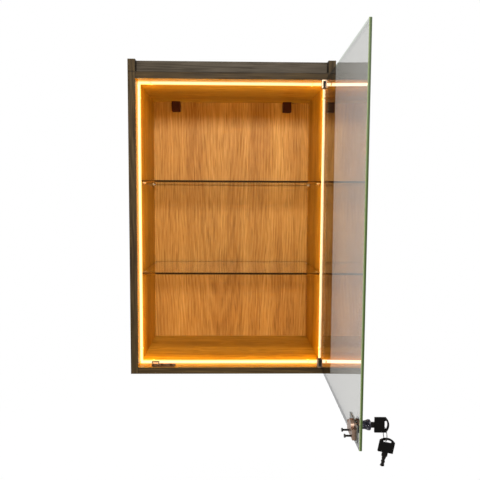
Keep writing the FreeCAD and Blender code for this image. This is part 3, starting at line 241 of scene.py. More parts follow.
def board_finish(name, grain_turn, oak_from, oak_to, axis):
    """Coated board: oak print between two planes across an axis, dark print elsewhere, raw chips behind."""
    finish, tree, shader, place = new_finish(name)
    shader.inputs["Specular IOR Level"].default_value = BOARD_SHINE
    along = stretched(tree, place, AS_IT_IS, grain_turn)
    oak, oak_pores, oak_relief = wood_print(tree, along, OAK_TONES, **BOARD_PRINT)
    dark, dark_pores, dark_relief = wood_print(tree, along, DARK_TONES, **BOARD_PRINT)
    where = axes(tree, place)
    inside = maths(tree, "MULTIPLY", maths(tree, "GREATER_THAN", where[axis], oak_from - SKIN),
                   maths(tree, "LESS_THAN", where[axis], oak_to + SKIN))
    raw = maths(tree, "GREATER_THAN", where["Y"], -SKIN)
    chips = shared(tree, chip_core, {"Place": place})
    edge = shared(tree, soft_edge, {"Radius": BOARD_ARRIS})
    rub = maths(tree, "MULTIPLY", edge["Rub"], BOARD_RUB)
    worn = laid(tree, rub, laid(tree, inside, dark, oak), paint(*RUBBED_BOARD))
    chip_colour = toned(tree, chips["Tone"], CHIP_TONES)
    feed(tree, shader.inputs["Base Color"], laid(tree, raw, worn, chip_colour))
    pores = laid(tree, inside, dark_pores, oak_pores)
    gloss = spread(tree, pores, 0.0, 1.0, *BOARD_GLOSS)
    feed(tree, shader.inputs["Roughness"], laid(tree, raw, gloss, RAW_CHIPS))
    relief = laid(tree, raw, laid(tree, inside, dark_relief, oak_relief), chips["Relief"])
    bumped(tree, shader, relief, normal=edge["Normal"], **BOARD_BUMP)
    return finish


left_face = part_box("side_left")[1].x
right_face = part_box("side_right")[0].x
side_board = board_finish("side_board", (0, 0, 0), left_face, right_face, "X")
dress(side_board, "side_left", "side_right")

# Top and bottom panel: the same coated board laid flat between the sides on dowels, oak towards the
# inside of the case. Their grain runs from side to side.
ALONG_WIDTH = (0, math.radians(-90), 0)
floor_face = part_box("bottom_panel")[1].z
roof_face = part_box("top_panel")[0].z
deck_board = board_finish("deck_board", ALONG_WIDTH, floor_face, roof_face, "Z")
dress(deck_board, "top_panel", "bottom_panel")

# Dowels: fluted beech pins glued into the boards' edges, hidden once the case is closed up.
# Raw wood, so they are matt and a little fuzzy.
BEECH_TONES = (168, 122, 84), (196, 152, 110), (214, 174, 132)
BEECH_PRINT = {"streaks": 900.0, "arches": 60.0, "pore_depth": 0.4}
beech, tree, shader, place = new_finish("raw_beech")
along = stretched(tree, place, AS_IT_IS, ALONG_WIDTH)
colour, pores, relief = wood_print(tree, along, BEECH_TONES, **BEECH_PRINT)
feed(tree, shader.inputs["Base Color"], colour)
feed(tree, shader.inputs["Roughness"], spread(tree, pores, 0.0, 1.0, 0.7, 0.9))
bumped(tree, shader, relief, strength=0.3, distance=0.0003)
dress(beech, "carcass_dowels", "crown_dowels")

# Back panel: an 8 mm board let into a rabbet all round and screwed from behind. The front carries the
# oak print with upright grain, the hidden rear is plain pressed fibre.
BACK_TONES = (106, 70, 28), (163, 117, 56), (190, 145, 76), (218, 174, 100)
FIBRE_TONES = (92, 66, 42), (126, 96, 66), (148, 116, 82), (176, 144, 108)
BACK_PRINT = {"streaks": 320.0, "arches": 40.0, "pore_depth": 0.42}
ARCH_CENTRE = (0.035, -0.03, 0)
RAW_FIBRE = (0.85, 0.85, 0.85, 1.0)
back, tree, shader, place = new_finish("back_board")
shader.inputs["Specular IOR Level"].default_value = BOARD_SHINE
centred = stretched(tree, place, AS_IT_IS, shift=ARCH_CENTRE)
oak, pores, relief = wood_print(tree, centred, BACK_TONES, **BACK_PRINT)
front_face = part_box("back_panel")[0].y
rear = maths(tree, "GREATER_THAN", axes(tree, place)["Y"], front_face + SKIN)
fuzz = cloud(tree, place, scale=900.0, detail=4.0, rough=0.8)
mottle = cloud(tree, place, scale=46.0, detail=7.0, rough=0.8)
felt = spread(tree, laid(tree, 0.5, fuzz, mottle), 0.34, 0.66)
feed(tree, shader.inputs["Base Color"], laid(tree, rear, oak, toned(tree, felt, FIBRE_TONES)))
gloss = spread(tree, pores, 0.0, 1.0, *BOARD_GLOSS)
feed(tree, shader.inputs["Roughness"], laid(tree, rear, gloss, RAW_FIBRE))
bumped(tree, shader, laid(tree, rear, relief, felt), **BOARD_BUMP)
dress(back, "back_panel")

# Edge bands: 1 mm dark bands glued on the four front edges and trimmed flush. The grain follows each
# band, upright on the sides and level on the decks, and the arris is rubbed a little paler.
BAND_TONES = (25, 16, 6), (52, 39, 20), (75, 58, 32), (114, 90, 54)
STANDING_TONES = (30, 21, 9), (64, 50, 29), (90, 72, 44), (132, 108, 70)
JOINT_SHADE_TONE = (22, 17, 10)
RUBBED_BAND = (140, 124, 106)
BAND_PRINT = {"streaks": 260.0, "arches": 40.0, "pore_depth": 0.35}
BAND_ARRIS = 0.0007
BAND_RUB = 0.4
BAND_GLOSS = 0.46, 0.7
BAND_BUMP = {"strength": 0.25, "distance": 0.0004}
JOINT_NEAR, JOINT_FAR, JOINT_SHADE_DEPTH = 0.0004, 0.0014, 0.8


def dark_band_finish(name, level_tones, upright_tones=None, upright_mask=None):
    """Dark print with level grain, or upright where a mask is 1; butt joints get painted shade lines."""
    finish, tree, shader, place = new_finish(name)
    shader.inputs["Specular IOR Level"].default_value = BOARD_SHINE
    level = stretched(tree, place, AS_IT_IS, ALONG_WIDTH)
    colour, pores, relief = wood_print(tree, level, level_tones, **BAND_PRINT)
    if upright_mask:
        upright = upright_mask(tree, place)
        stood, stood_pores, stood_relief = wood_print(tree, place, upright_tones, **BAND_PRINT)
        colour = laid(tree, upright, colour, stood)
        pores = laid(tree, upright, pores, stood_pores)
        relief = laid(tree, upright, relief, stood_relief)
    edge = shared(tree, soft_edge, {"Radius": BAND_ARRIS})
    worn = laid(tree, maths(tree, "MULTIPLY", edge["Rub"], BAND_RUB), colour, paint(*RUBBED_BAND))
    where = axes(tree, place)
    across = maths(tree, "ABSOLUTE", where["X"])
    off_side = maths(tree, "ABSOLUTE", maths(tree, "SUBTRACT", across, right_face))
    off_crown = maths(tree, "ABSOLUTE", maths(tree, "SUBTRACT", where["Z"], crown_foot))
    off_joint = maths(tree, "MINIMUM", off_side, off_crown)
    # Dark lines at the butt joints: painted shade in the seams.
    joint = spread(tree, off_joint, JOINT_NEAR, JOINT_FAR, JOINT_SHADE_DEPTH, 0.0)
    feed(tree, shader.inputs["Base Color"], laid(tree, joint, worn, paint(*JOINT_SHADE_TONE)))
    feed(tree, shader.inputs["Roughness"], spread(tree, pores, 0.0, 1.0, *BAND_GLOSS))
    bumped(tree, shader, relief, normal=edge["Normal"], **BAND_BUMP)
    return finish


def on_side_boards(tree, place):
    """1 on the side boards' own bands."""
    across = maths(tree, "ABSOLUTE", axes(tree, place)["X"])
    return maths(tree, "GREATER_THAN", across, right_face)


crown_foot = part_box("crown_left")[0].z
dress(dark_band_finish("edge_band", BAND_TONES, STANDING_TONES, on_side_boards), "edge_bands")

# Crown: three dark strips doweled on the top panel, two along the sides and a fascia set back between
# them, so that the light's supply lies out of sight in the tray behind.
END_DEPTH = 0.001


def on_front_ends(tree, place):
    """1 on the front ends of the crown's side strips."""
    return maths(tree, "LESS_THAN", axes(tree, place)["Y"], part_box("crown_left")[0].y + END_DEPTH)


crown_strip = dark_band_finish("crown_strip", DARK_TONES, STANDING_TONES, on_front_ends)
dress(crown_strip, "crown_left", "crown_right")
dress(dark_band_finish("fascia", DARK_TONES), "crown_fascia")

# Screws, hanger plates, hinge pins, cam and bolt: zinc-plated steel, pressed or cold headed, with a
# dull spangle, fine rubbing marks and brighter worn edges.
ZINC_TONES = (118, 120, 124), (150, 152, 156), (178, 180, 184)
METAL_ARRIS = 0.00025
METAL_RUB = 0.5
SCUFF_ROUGH = 0.12
SCUFF_BUMP = {"strength": 0.12, "distance": 0.0001}
HAIR_DRAWN, HAIR_TURN, HAIR_FINER = (1, 0.05, 1), (0.5, 0.3, 0.8), 14.0
handling, given, shown = effect(
    "handling", {"Place": "Vector", "Size": "Float"}, {"Smudge": "Float", "Scratch": "Float"})
feed(handling, shown["Smudge"], cloud(handling, given["Place"], given["Size"], detail=4.0, rough=0.6))
drawn = stretched(handling, given["Place"], HAIR_DRAWN, HAIR_TURN)
hair = cloud(handling, drawn, maths(handling, "MULTIPLY", given["Size"], HAIR_FINER))
feed(handling, shown["Scratch"], spread(handling, hair, 0.60, 0.72))


def metal_finish(name, tones, roughness, spot=120.0, rub=(225, 222, 214)):
    """Plated metal with blotches, hairline marks and worn edges."""
    finish, tree, shader, place = new_finish(name)
    marks = shared(tree, handling, {"Place": place, "Size": spot})
    edge = shared(tree, soft_edge, {"Radius": METAL_ARRIS})
    colour = toned(tree, marks["Smudge"], tones)
    worn = laid(tree, maths(tree, "MULTIPLY", edge["Rub"], METAL_RUB), colour, paint(*rub))
    feed(tree, shader.inputs["Base Color"], worn)
    shader.inputs["Metallic"].default_value = 1.0
    scuffed = maths(tree, "MULTIPLY", marks["Scratch"], SCUFF_ROUGH)
    smooth = spread(tree, marks["Smudge"], *CLOUD_SPAN, *roughness)
    feed(tree, shader.inputs["Roughness"], maths(tree, "ADD", smooth, scuffed))
    bumped(tree, shader, marks["Scratch"], normal=edge["Normal"], **SCUFF_BUMP)
    return finish


zinc = metal_finish("zinc_plate", ZINC_TONES, roughness=(0.32, 0.5), spot=900.0)
dress(zinc, "back_screws", "hanger_left", "hanger_right", "hanger_screws", "driver_screws")
dress(zinc, "hinge_pin_top", "hinge_pin_bottom", "hinge_grubs", "lock_cam", "lock_bolt")

# Hanger covers: black moulded caps pushed over the hanger plates in the upper rear corners. Their colour is
# painted brown-red for the strips' warm light. Fine spark texture, with a slight sheen on the rounded
# edges.
CAP_TONES_WARM_LIT = (40, 18, 10), (60, 27, 15), (80, 38, 22)
MOULD_ARRIS = 0.0006
MOULD_SPOT = 90.0


def moulded_finish(name, tones, roughness, texture=2600.0, relief=0.18, shine=0.25):
    """Moulded plastic or rubber with a fine mould texture and a little handling gloss."""
    finish, tree, shader, place = new_finish(name)
    shader.inputs["Specular IOR Level"].default_value = shine
    marks = shared(tree, handling, {"Place": place, "Size": MOULD_SPOT})
    edge = shared(tree, soft_edge, {"Radius": MOULD_ARRIS})
    feed(tree, shader.inputs["Base Color"], toned(tree, marks["Smudge"], tones))
    feed(tree, shader.inputs["Roughness"], spread(tree, marks["Smudge"], *CLOUD_SPAN, *roughness))
    sparks = cloud(tree, place, texture)
    bumped(tree, shader, sparks, strength=relief, distance=0.0002, normal=edge["Normal"])
    return finish


# The caps' brown-red is painted warm light; the caps themselves are black.
cap_warm_lit = moulded_finish("cap_painted_warm_light", CAP_TONES_WARM_LIT, roughness=(0.5, 0.66), shine=0.12)
dress(cap_warm_lit, "hanger_cover_left", "hanger_cover_right")

# Shelf pins and pads: turned nickel pins, warm from the light strips, pushed into bores in the side
# boards, each with a soft clear pad under the glass.
PIN_TONES = (146, 106, 58), (182, 138, 84), (204, 164, 112)
PAD_TONES = (176, 176, 172), (190, 190, 187), (204, 204, 200)
nickel = metal_finish("pin_nickel", PIN_TONES, roughness=(0.16, 0.3), rub=(224, 190, 140))
soft_pad = moulded_finish("soft_pad", PAD_TONES, roughness=(0.35, 0.5), texture=1800.0, relief=0.1)
dress(nickel, "shelf_pins")
dress(soft_pad, "shelf_pads")

# Shelves: two loose plates of 5 mm float glass with ground arrises, laid on the pads. The body is clear,
# and the edges gather the warm light to a dark brown.
SHELF_TONES = (70, 48, 18), (44, 30, 10), (30, 20, 7)
SHELF_BODY = (246, 250, 247)
SHELF_ARRIS = 0.0005
SHELF_SHINE = 0.03
SMEAR = 3
GREASE_SPAN = 0.64, 0.85
GREASE_ROUGH = 0.0, 0.04
GLASS_INDEX = 1.5
GLASS_SHADE = (216, 216, 216)
UPWARDS = (0, 0, 1)
WELD = 0.000002
COPLANAR, SHARP = math.radians(0.5), math.radians(60)


def glass_finish(name, body, bends):
    """Clear glass body with faint smears, which lets lamp light through; bends is its own index."""
    finish, tree, shader, place = new_finish(name)
    smear = paint(*(tone - SMEAR for tone in body))
    streak = cloud(tree, place, scale=9.0, detail=3.0)
    feed(tree, shader.inputs["Base Color"], laid(tree, streak, paint(*body), smear))
    grease = cloud(tree, place, scale=14.0, detail=5.0, rough=0.65)
    feed(tree, shader.inputs["Roughness"], spread(tree, grease, *GREASE_SPAN, *GREASE_ROUGH))
    shader.inputs["Transmission Weight"].default_value = 1.0
    shader.inputs["IOR"].default_value = bends
    path = node(tree, "LightPath", {}).outputs
    passing = maths(tree, "MAXIMUM", path["Is Shadow Ray"], path["Is Diffuse Ray"])
    turned_back = node(tree, "Fresnel", {"IOR": GLASS_INDEX}).outputs[0]
    let_by = laid(tree, turned_back, paint(*body), paint(*GLASS_SHADE))
    clear = node(tree, "BsdfTransparent", {"Color": let_by}).outputs[0]
    both = node(tree, "MixShader", {0: passing, 1: shader.outputs[0], 2: clear}).outputs[0]
    feed(tree, tree.nodes["Material Output"].inputs["Surface"], both)
    return finish


def rim_finish(name, tones, across, near, far, shine):
    """Ground glass edge, its tone deepening from one face of the plate to the other."""
    finish, tree, shader, place = new_finish(name)
    shader.inputs["Specular IOR Level"].default_value = shine
    depth = node(tree, "VectorMath", {0: place, 1: across}, operation="DOT_PRODUCT").outputs["Value"]
    grit = cloud(tree, place, scale=700.0, detail=4.0)
    blur = spread(tree, grit, *CLOUD_SPAN, -0.08, 0.08)
    shade = maths(tree, "ADD", spread(tree, depth, near, far), blur)
    feed(tree, shader.inputs["Base Color"], toned(tree, shade, tones))
    feed(tree, shader.inputs["Roughness"], spread(tree, grit, *CLOUD_SPAN, 0.2, 0.34))
    bumped(tree, shader, grit, strength=0.1, distance=0.0001)
    return finish


def ground_plate(name, source, arris, across, body, rim, pale_rim=None):
    """A plate of the frame made again, its sharp edges ground off and its rim in a finish of its own."""
    plate = bpy.data.objects.new(name, frame["nodes"][source].data.copy())
    bpy.context.scene.collection.objects.link(plate)
    plate.data.materials.clear()
    for finish in (body, rim, pale_rim or rim):
        plate.data.materials.append(finish)
    bpy.ops.object.select_all(action="DESELECT")
    plate.select_set(True)
    bpy.context.view_layer.objects.active = plate
    bpy.ops.object.mode_set(mode="EDIT")
    bpy.ops.mesh.select_all(action="SELECT")
    bpy.ops.mesh.remove_doubles(threshold=WELD)
    bpy.ops.mesh.dissolve_limited(angle_limit=COPLANAR)
    bpy.ops.object.mode_set(mode="OBJECT")
    bpy.ops.object.modifier_add(type="BEVEL")
    grind = plate.modifiers[-1]
    grind.width = arris
    grind.segments = 1
    grind.limit_method = "ANGLE"
    grind.angle_limit = SHARP
    bpy.ops.object.modifier_apply(modifier=grind.name)
    for face in plate.data.polygons:
        flat = abs(face.normal.dot(Vector(across))) > 0.95
        hidden_end = pale_rim and face.normal.y > 0.5
        level = abs(face.normal.z) > 0.5
        face.material_index = 0 if flat or hidden_end else 2 if level else 1
    plate.select_set(False)
    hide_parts(source)
    return plate


shelf_glass = glass_finish("shelf_glass", SHELF_BODY, bends=GLASS_INDEX)
for tier in ("upper", "lower"):
    low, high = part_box("shelf_" + tier)
    rim = rim_finish("shelf_rim_" + tier, SHELF_TONES, UPWARDS, low.z, high.z, SHELF_SHINE)
    shelf = ground_plate("shelf_plate_" + tier, "shelf_" + tier, SHELF_ARRIS, UPWARDS, shelf_glass, rim)
    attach(shelf, tier + "_shelf")

# Light strips: lit tapes under milky channel covers, clipped round the inside of the front. The camera
# sees the covers' own glow; they throw a warmer light on the boards and show paler in gloss and glass.
MILK_TONES = (150, 134, 100), (158, 142, 108)
GLOW_TONES = (250, 234, 190), (252, 240, 202)
GLOW_REAR = (255, 206, 112)
THROWN_TONES = (255, 184, 0), (255, 190, 10)
MIRRORED_TONES = (255, 232, 192), (255, 238, 202)
GLOW, THROWN, MIRRORED = 0.98, 12.0, 3.0
cover_front, cover_rear = (corner.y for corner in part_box("led_diffuser_top"))
opal, tree, shader, place = new_finish("opal_cover")
milk = cloud(tree, place, scale=420.0)
feed(tree, shader.inputs["Base Color"], toned(tree, milk, MILK_TONES))
rearward = spread(tree, axes(tree, place)["Y"], cover_front, cover_rear)
glow = laid(tree, rearward, toned(tree, milk, GLOW_TONES), paint(*GLOW_REAR))
feed(tree, shader.inputs["Emission Color"], glow)
shader.inputs["Emission Strength"].default_value = GLOW
feed(tree, shader.inputs["Roughness"], spread(tree, milk, *CLOUD_SPAN, 0.35, 0.45))
path = node(tree, "LightPath", {}).outputs
warm = {"Color": toned(tree, milk, THROWN_TONES), "Strength": THROWN}
pale = {"Color": toned(tree, milk, MIRRORED_TONES), "Strength": MIRRORED}
by_glass = maths(tree, "MAXIMUM", path["Is Glossy Ray"], path["Is Transmission Ray"])
thrown = node(tree, "MixShader", {
    0: by_glass, 1: node(tree, "Emission", warm).outputs[0],
    2: node(tree, "Emission", pale).outputs[0]}).outputs[0]
both = node(tree, "MixShader", {0: path["Is Camera Ray"], 1: thrown, 2: shader.outputs[0]}).outputs[0]
feed(tree, tree.nodes["Material Output"].inputs["Surface"], both)
dress(opal, *("led_diffuser_" + strip for strip in ("top", "bottom", "left", "right")))

DOTS_A_METRE = 60.0
DOT_TONES = (255, 214, 96), (232, 228, 214), (240, 238, 230)
tape, tree, shader, place = new_finish("lit_tape")
dots = node(tree, "TexVoronoi", {"Vector": place, "Scale": DOTS_A_METRE}).outputs["Distance"]
feed(tree, shader.inputs["Base Color"], toned(tree, dots, DOT_TONES))
feed(tree, shader.inputs["Roughness"], spread(tree, dots, 0.0, 0.6, 0.3, 0.6))
dress(tape, "led_tapes")

# The clear clips glow by emission: a painted glow of the strips' light passing through them.
STRAP_TONES = (226, 206, 160), (240, 224, 184)
STRAP_PAINTED_GLOW = (255, 214, 130), (255, 220, 142)
strap, tree, shader, place = new_finish("strap_painted_glow")
haze = cloud(tree, place, scale=300.0)
feed(tree, shader.inputs["Base Color"], toned(tree, haze, STRAP_TONES))
feed(tree, shader.inputs["Emission Color"], toned(tree, haze, STRAP_PAINTED_GLOW))
shader.inputs["Emission Strength"].default_value = 0.7
feed(tree, shader.inputs["Roughness"], spread(tree, haze, *CLOUD_SPAN, 0.3, 0.45))
dress(strap, "led_clips")

# Light supply: a white plastic driver screwed to the top panel in the crown's tray, with a moulded inlet
# for its mains plug. A white lead goes from it through a rubber bushing to the strips.
DRIVER_TONES = (196, 196, 191), (206, 206, 202), (216, 216, 212)
RUBBER_TONES = (22, 22, 22), (32, 32, 32), (44, 44, 43)
SHEATH_TONES = (202, 202, 197), (212, 212, 208), (222, 222, 219)
LEAD_DIA = 0.004
LEAD_ROUTE = (
    (0.120, -0.2290, 0.0465),
    (0.120, -0.2494, 0.0465),
    (0.120, -0.2720, 0.0465),
    (0.120, -0.2720, 0.0239),
    (0.120, -0.2720, 0.0165),
)
white_case = moulded_finish("white_moulding", DRIVER_TONES, roughness=(0.45, 0.6))
rubber = moulded_finish("black_rubber", RUBBER_TONES, roughness=(0.6, 0.8), texture=1500.0, relief=0.3)
dress(white_case, "led_driver")
dress(rubber, "cable_grommet", "hinge_pads")

line = bpy.data.curves.new("supply_lead", "CURVE")
line.dimensions = "3D"
line.bevel_depth = LEAD_DIA / 2
line.bevel_resolution = 5
line.use_fill_caps = True
run = line.splines.new("NURBS")
run.points.add(len(LEAD_ROUTE) - 1)
for point, spot in zip(run.points, LEAD_ROUTE):
    point.co = (*spot, 1.0)
run.order_u = 3
run.use_endpoint_u = True
run.resolution_u = 12
lead = bpy.data.objects.new("supply_lead", line)
bpy.context.scene.collection.objects.link(lead)
lead.data.materials.append(moulded_finish("lead_sheath", SHEATH_TONES, roughness=(0.4, 0.55)))
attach(lead, "carcass")
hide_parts("led_lead")

# Strike plate: folded plated steel on the bottom panel, with a raised keeper for the bolt. Its dark brown
# is a painted reflection of the warm-lit case. Two screws of the same plating and colour hold it.
STRIKE_REFLECTION_TONES = (78, 58, 40), (98, 74, 52), (116, 90, 66)
# Dark brown tones and warm rubbed edges: a painted reflection of the warm-lit case.
strike = metal_finish("strike_painted_reflection", STRIKE_REFLECTION_TONES, roughness=(0.34, 0.48), rub=(170, 140, 106))
dress(strike, "strike_plate", "strike_screws")

# Door: one 5 mm plate of float glass with ground arrises, bored for the lock. It has a slight grey in its
# depth and mirrors by a coat, as a thin sheet that does not shift what is behind it. The free edge is deep
# green, and the level edges are pale.
RIM_TONES = (160, 172, 128), (76, 94, 44), (54, 70, 26), (48, 64, 24)
PANE_BODY = (252, 254, 252)
PANE_LEVEL_RIM = (206, 222, 202)
PANE_DEPTH = {"Color": paint(130, 122, 106), "Density": 30.0}
PANE_ARRIS = 0.0006
PANE_SHINE = 0.2
UNBENT = 1.0
lock_axis = Vector(next(joint["axis"] for joint in frame["joints"] if joint["name"] == "lock_turn"))
depths = [lock_axis.dot(corner.co) for corner in frame["nodes"]["door_glass"].data.vertices]
door_glass = glass_finish("door_glass_clear", PANE_BODY, bends=UNBENT)
tree = door_glass.node_tree
coat = tree.nodes["Principled BSDF"].inputs
coat["Coat Weight"].default_value = 1.0
coat["Coat Roughness"].default_value = 0.0
coat["Coat IOR"].default_value = GLASS_INDEX
greying = node(tree, "VolumeAbsorption", PANE_DEPTH).outputs[0]
feed(tree, tree.nodes["Material Output"].inputs["Volume"], greying)
door_rim = rim_finish("door_rim", RIM_TONES, lock_axis, min(depths), max(depths), PANE_SHINE)
pale_rim = glass_finish("door_rim_pale", PANE_LEVEL_RIM, bends=UNBENT)
door = ground_plate("door_pane", "door_glass", PANE_ARRIS, lock_axis, door_glass, door_rim, pale_rim)
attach(door, "door")

# Hinges: nickel clips that grip the glass by grub screws, on steel pins that turn in nylon bushes in the
# top and bottom panel. The clips' brown tone is painted shade and warm reflection on the nickel.
NYLON_TONES = (218, 214, 202), (226, 223, 213), (234, 231, 222)
CLIP_REFLECTION_TONES = (104, 84, 66), (126, 104, 84), (146, 124, 104)
nylon = moulded_finish("natural_nylon", NYLON_TONES, roughness=(0.35, 0.5))
# Brown tones and warm rubbed edges: painted shade and warm reflection on nickel.
clip_metal = metal_finish("clip_painted_reflection", CLIP_REFLECTION_TONES, roughness=(0.26, 0.4), rub=(196, 172, 148))
dress(clip_metal, "hinge_clip_top", "hinge_clip_bottom")
dress(nylon, "hinge_bush_top", "hinge_bush_bottom")

# Lock: a dark nickel knob and barrel through the glass between soft washers, with a back plate and a bolt
# case on two long screws. The knob's blotches and the case's warm tone are painted reflections.
KNOB_REFLECTION_TONES = (12, 11, 17), (48, 46, 54), (196, 194, 200)
CASE_REFLECTION_TONES = (112, 92, 78), (138, 114, 98), (158, 134, 118)
PLATE_TONES = (84, 88, 86), (112, 116, 113), (134, 138, 135)
# Near-black to near-white blotches: painted reflections on dark nickel.
knob = metal_finish("knob_painted_reflection", KNOB_REFLECTION_TONES, roughness=(0.06, 0.16), spot=170.0)
# Warm tones and warm rubbed edges: a painted reflection of the warm-lit inside of the case.
case_with_painted_reflection = metal_finish("case_painted_reflection", CASE_REFLECTION_TONES, roughness=(0.3, 0.45), spot=160.0, rub=(196, 176, 158))
plate = metal_finish("plate_grey", PLATE_TONES, roughness=(0.3, 0.45))
dress(knob, "lock_cylinder", "lock_plug")
dress(plate, "lock_plate")
dress(case_with_painted_reflection, "lock_case")
dress(rubber, "lock_gasket", "lock_pad")

# Keys: flat dark-plated blades with cut teeth, in black moulded heads with a loop. One is in the lock,
# the spare hangs from it on a ring. The lock's two long screws have the same plating.
KEY_TONES = (16, 15, 14), (30, 28, 26), (50, 48, 45)
HEAD_TONES = (3, 2, 2), (6, 5, 4), (10, 8, 6)
key_metal = metal_finish("key_plating", KEY_TONES, roughness=(0.18, 0.32))
black_cap = moulded_finish("black_moulding", HEAD_TONES, roughness=(0.5, 0.66), shine=0.06)
dress(key_metal, "key_blade", "spare_blade", "lock_screws")
dress(black_cap, "key_head", "spare_head")

# Split ring: two turns of flat spring wire in the keys' plating, wound tight, with both ends cut square.
# A flat section is wound round the ring's axis, then turned and set where the plain ring was.
WIRE_DEEP = 0.0013
WIRE_THICK = 0.00062
WIRE_TURNS = math.radians(712)
RING_STEPS = 144
RING_TURN = math.radians(-1.35)
ORIGIN = (0, 0, 0)
ring_low, ring_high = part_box("key_ring")
ring_centre = (ring_low + ring_high) / 2
ring_reach = (ring_high.z - ring_low.z) / 2 - WIRE_DEEP / 2
bpy.ops.object.select_all(action="DESELECT")
bpy.ops.mesh.primitive_circle_add(vertices=12, radius=0.5, fill_type="NGON", location=ORIGIN)
ring = bpy.context.object
ring.name = "split_ring"
bpy.ops.object.mode_set(mode="EDIT")
bpy.ops.transform.resize(value=(WIRE_DEEP, WIRE_THICK, 1), center_override=ORIGIN)
bpy.ops.transform.rotate(value=math.radians(-90), orient_axis="X", center_override=ORIGIN)
bpy.ops.transform.translate(value=(ring_reach, 0, -WIRE_THICK))
bpy.ops.object.mode_set(mode="OBJECT")
bpy.ops.object.modifier_add(type="SCREW")
winding = ring.modifiers[-1]
winding.axis = "Z"
winding.angle = WIRE_TURNS
winding.screw_offset = 2 * WIRE_THICK
winding.steps = winding.render_steps = RING_STEPS
winding.use_merge_vertices = False
bpy.ops.object.modifier_apply(modifier=winding.name)
bpy.ops.object.mode_set(mode="EDIT")
bpy.ops.mesh.select_all(action="SELECT")
bpy.ops.transform.rotate(value=math.radians(-90), orient_axis="Y", center_override=ORIGIN)
bpy.ops.transform.rotate(value=-RING_TURN, orient_axis="Z", center_override=ORIGIN)
bpy.ops.transform.translate(value=ring_centre)
bpy.ops.mesh.normals_make_consistent(inside=False)
bpy.ops.object.mode_set(mode="OBJECT")
bpy.ops.object.shade_smooth_by_angle(angle=math.radians(40))
ring.data.materials.append(key_metal)
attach(ring, "ring")
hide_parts("key_ring")

# Floor: a wide pale floor well below the hung case. The camera, gloss and glass see it nearly white, and
# wholly so further out, so that it runs into the studio and keeps a faint shadow under the case.
FLOOR_HEIGHT = -1.15
FLOOR_REACH = 9.0
FLOOR_TONES = (236, 236, 236), (240, 240, 240)
FADE_FROM, FADE_TO, FADE_LEAST = 0.2, 1.2, 0.93
WHITE = (1, 1, 1, 1)


def seen_rays(tree):
    """1 for what the camera sees, straight, in gloss or through glass."""
    path = node(tree, "LightPath", {}).outputs
    by_glass = maths(tree, "MAXIMUM", path["Is Glossy Ray"], path["Is Transmission Ray"])
    return maths(tree, "MAXIMUM", path["Is Camera Ray"], by_glass)


bpy.ops.object.select_all(action="DESELECT")
bpy.ops.mesh.primitive_circle_add(
    vertices=96, radius=FLOOR_REACH, fill_type="NGON", location=(0, 0, FLOOR_HEIGHT))
ground = bpy.context.object
ground.name = "studio_floor"
pale_floor, tree, shader, place = new_finish("pale_floor")
feed(tree, shader.inputs["Base Color"], toned(tree, cloud(tree, place, scale=3.0), FLOOR_TONES))
shader.inputs["Roughness"].default_value = 0.9
shader.inputs["Specular IOR Level"].default_value = 0.1
reach = node(tree, "VectorMath", {0: place}, operation="LENGTH").outputs["Value"]
fade = spread(tree, reach, FADE_FROM, FADE_TO, FADE_LEAST, 1.0)
white = node(tree, "Emission", {"Color": WHITE, "Strength": 1.0}).outputs[0]
share = maths(tree, "MULTIPLY", seen_rays(tree), fade)
both = node(tree, "MixShader", {0: share, 1: shader.outputs[0], 2: white}).outputs[0]
feed(tree, tree.nodes["Material Output"].inputs["Surface"], both)
ground.data.materials.append(pale_floor)

# Studio: a white room to the camera, in gloss and through glass, and a dim even light on everything else.
# Five plain softboxes light the case, of which only the front one shows in gloss and glass.
AMBIENT = (50, 50, 52)
MID_CASE = (0, -0.15, -0.35)
world = bpy.data.worlds.new("studio")
world.use_nodes = True
bpy.context.scene.world = world
tree = world.node_tree
room = tree.nodes["Background"].inputs
feed(tree, room["Color"], laid(tree, seen_rays(tree), paint(*AMBIENT), WHITE))
room["Strength"].default_value = 1.0


def softbox(name, spot, aim, size, watts, mirrored=False):
    """A square studio lamp aimed at a point, shown by gloss and glass only where it is mirrored."""
    bpy.ops.object.light_add(type="AREA", location=spot)
    lamp = bpy.context.object
    lamp.name = name
    lamp.data.energy = watts
    lamp.data.size = size
    lamp.visible_glossy = lamp.visible_transmission = mirrored
    lamp.rotation_euler = (Vector(aim) - Vector(spot)).to_track_quat("-Z", "Y").to_euler()


softbox("front_softbox", (0.1, -4.0, 0.74), (0, -0.2, -0.35), size=0.5, watts=110, mirrored=True)
softbox("left_softbox", (-2.4, 0.1, 0.5), MID_CASE, size=1.6, watts=40)
softbox("right_softbox", (2.4, 0.1, 0.5), MID_CASE, size=1.6, watts=40)
softbox("top_softbox", (0, 0.2, 2.4), MID_CASE, size=1.6, watts=45)
softbox("rear_softbox", (-0.3, 2.6, 0.4), (0, 0, -0.35), size=1.8, watts=42)

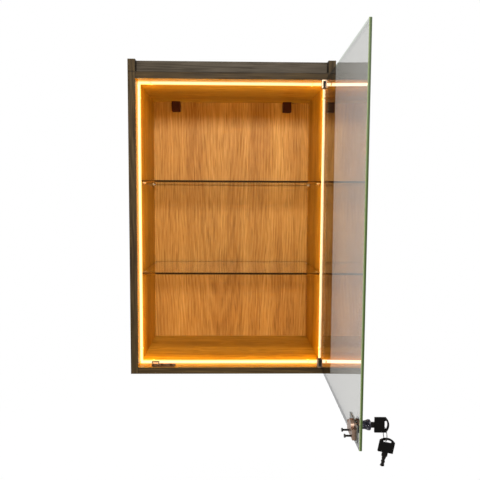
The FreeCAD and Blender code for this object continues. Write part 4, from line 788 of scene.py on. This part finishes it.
# Strip lamps: the warm light that the four covers throw into the case, as long lamps just off the covers.
# They are not seen themselves.
WARM = (1.0, 0.5, 0.0)
STRIP_LAMP = 0.02
STRIP_OFF = 0.03
STRIP_TILT = 1.8
for strip, inward, watts in (
        ("top", Vector((0, 0, -1)), 0.17), ("bottom", Vector((0, 0, 1)), 0.30),
        ("left", Vector((1, 0, 0)), 0.54), ("right", Vector((-1, 0, 0)), 0.46)):
    low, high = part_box("led_diffuser_" + strip)
    middle = (low + high) / 2 + STRIP_OFF * inward
    rearward = Vector((0, 1, 0)) - STRIP_TILT * inward
    bpy.ops.object.light_add(type="AREA", location=middle)
    lamp = bpy.context.object
    lamp.name = "strip_lamp_" + strip
    lamp.data.shape = "RECTANGLE"
    upright = high.z - low.z > high.x - low.x
    lamp.data.size = STRIP_LAMP if upright else high.x - low.x
    lamp.data.size_y = high.z - low.z if upright else STRIP_LAMP
    lamp.data.color = WARM
    lamp.data.energy = watts
    lamp.rotation_euler = rearward.to_track_quat("-Z", "Y").to_euler()
    lamp.visible_camera = lamp.visible_glossy = lamp.visible_transmission = False

# Camera: set where the photograph was taken, nearly square to the case and a little above its middle.
# Its place, turn and lens come from a fit to corners of the boards, the shelves and the pane.
LENS = 38.98
SENSOR = 36.0
NEAREST = 0.01
EYE = Vector((-0.003492, -1.589569, -0.272354))
YAW, PITCH, ROLL = (math.radians(angle) for angle in (1.099, -4.440, 0.276))
ahead = Vector((math.sin(YAW) * math.cos(PITCH), math.cos(YAW) * math.cos(PITCH), math.sin(PITCH)))
level = ahead.cross(Vector((0, 0, 1))).normalized()
above = level.cross(ahead)
aside = level * math.cos(ROLL) + above * math.sin(ROLL)
upright = above * math.cos(ROLL) - level * math.sin(ROLL)
bpy.ops.object.camera_add(location=EYE)
camera = bpy.context.object
camera.matrix_world = Matrix.Translation(EYE) @ Matrix((aside, upright, -ahead)).transposed().to_4x4()
camera.data.lens = LENS
camera.data.sensor_width = SENSOR
camera.data.clip_start = NEAREST
bpy.context.scene.camera = camera
bpy.context.scene.view_settings.view_transform = "Standard"
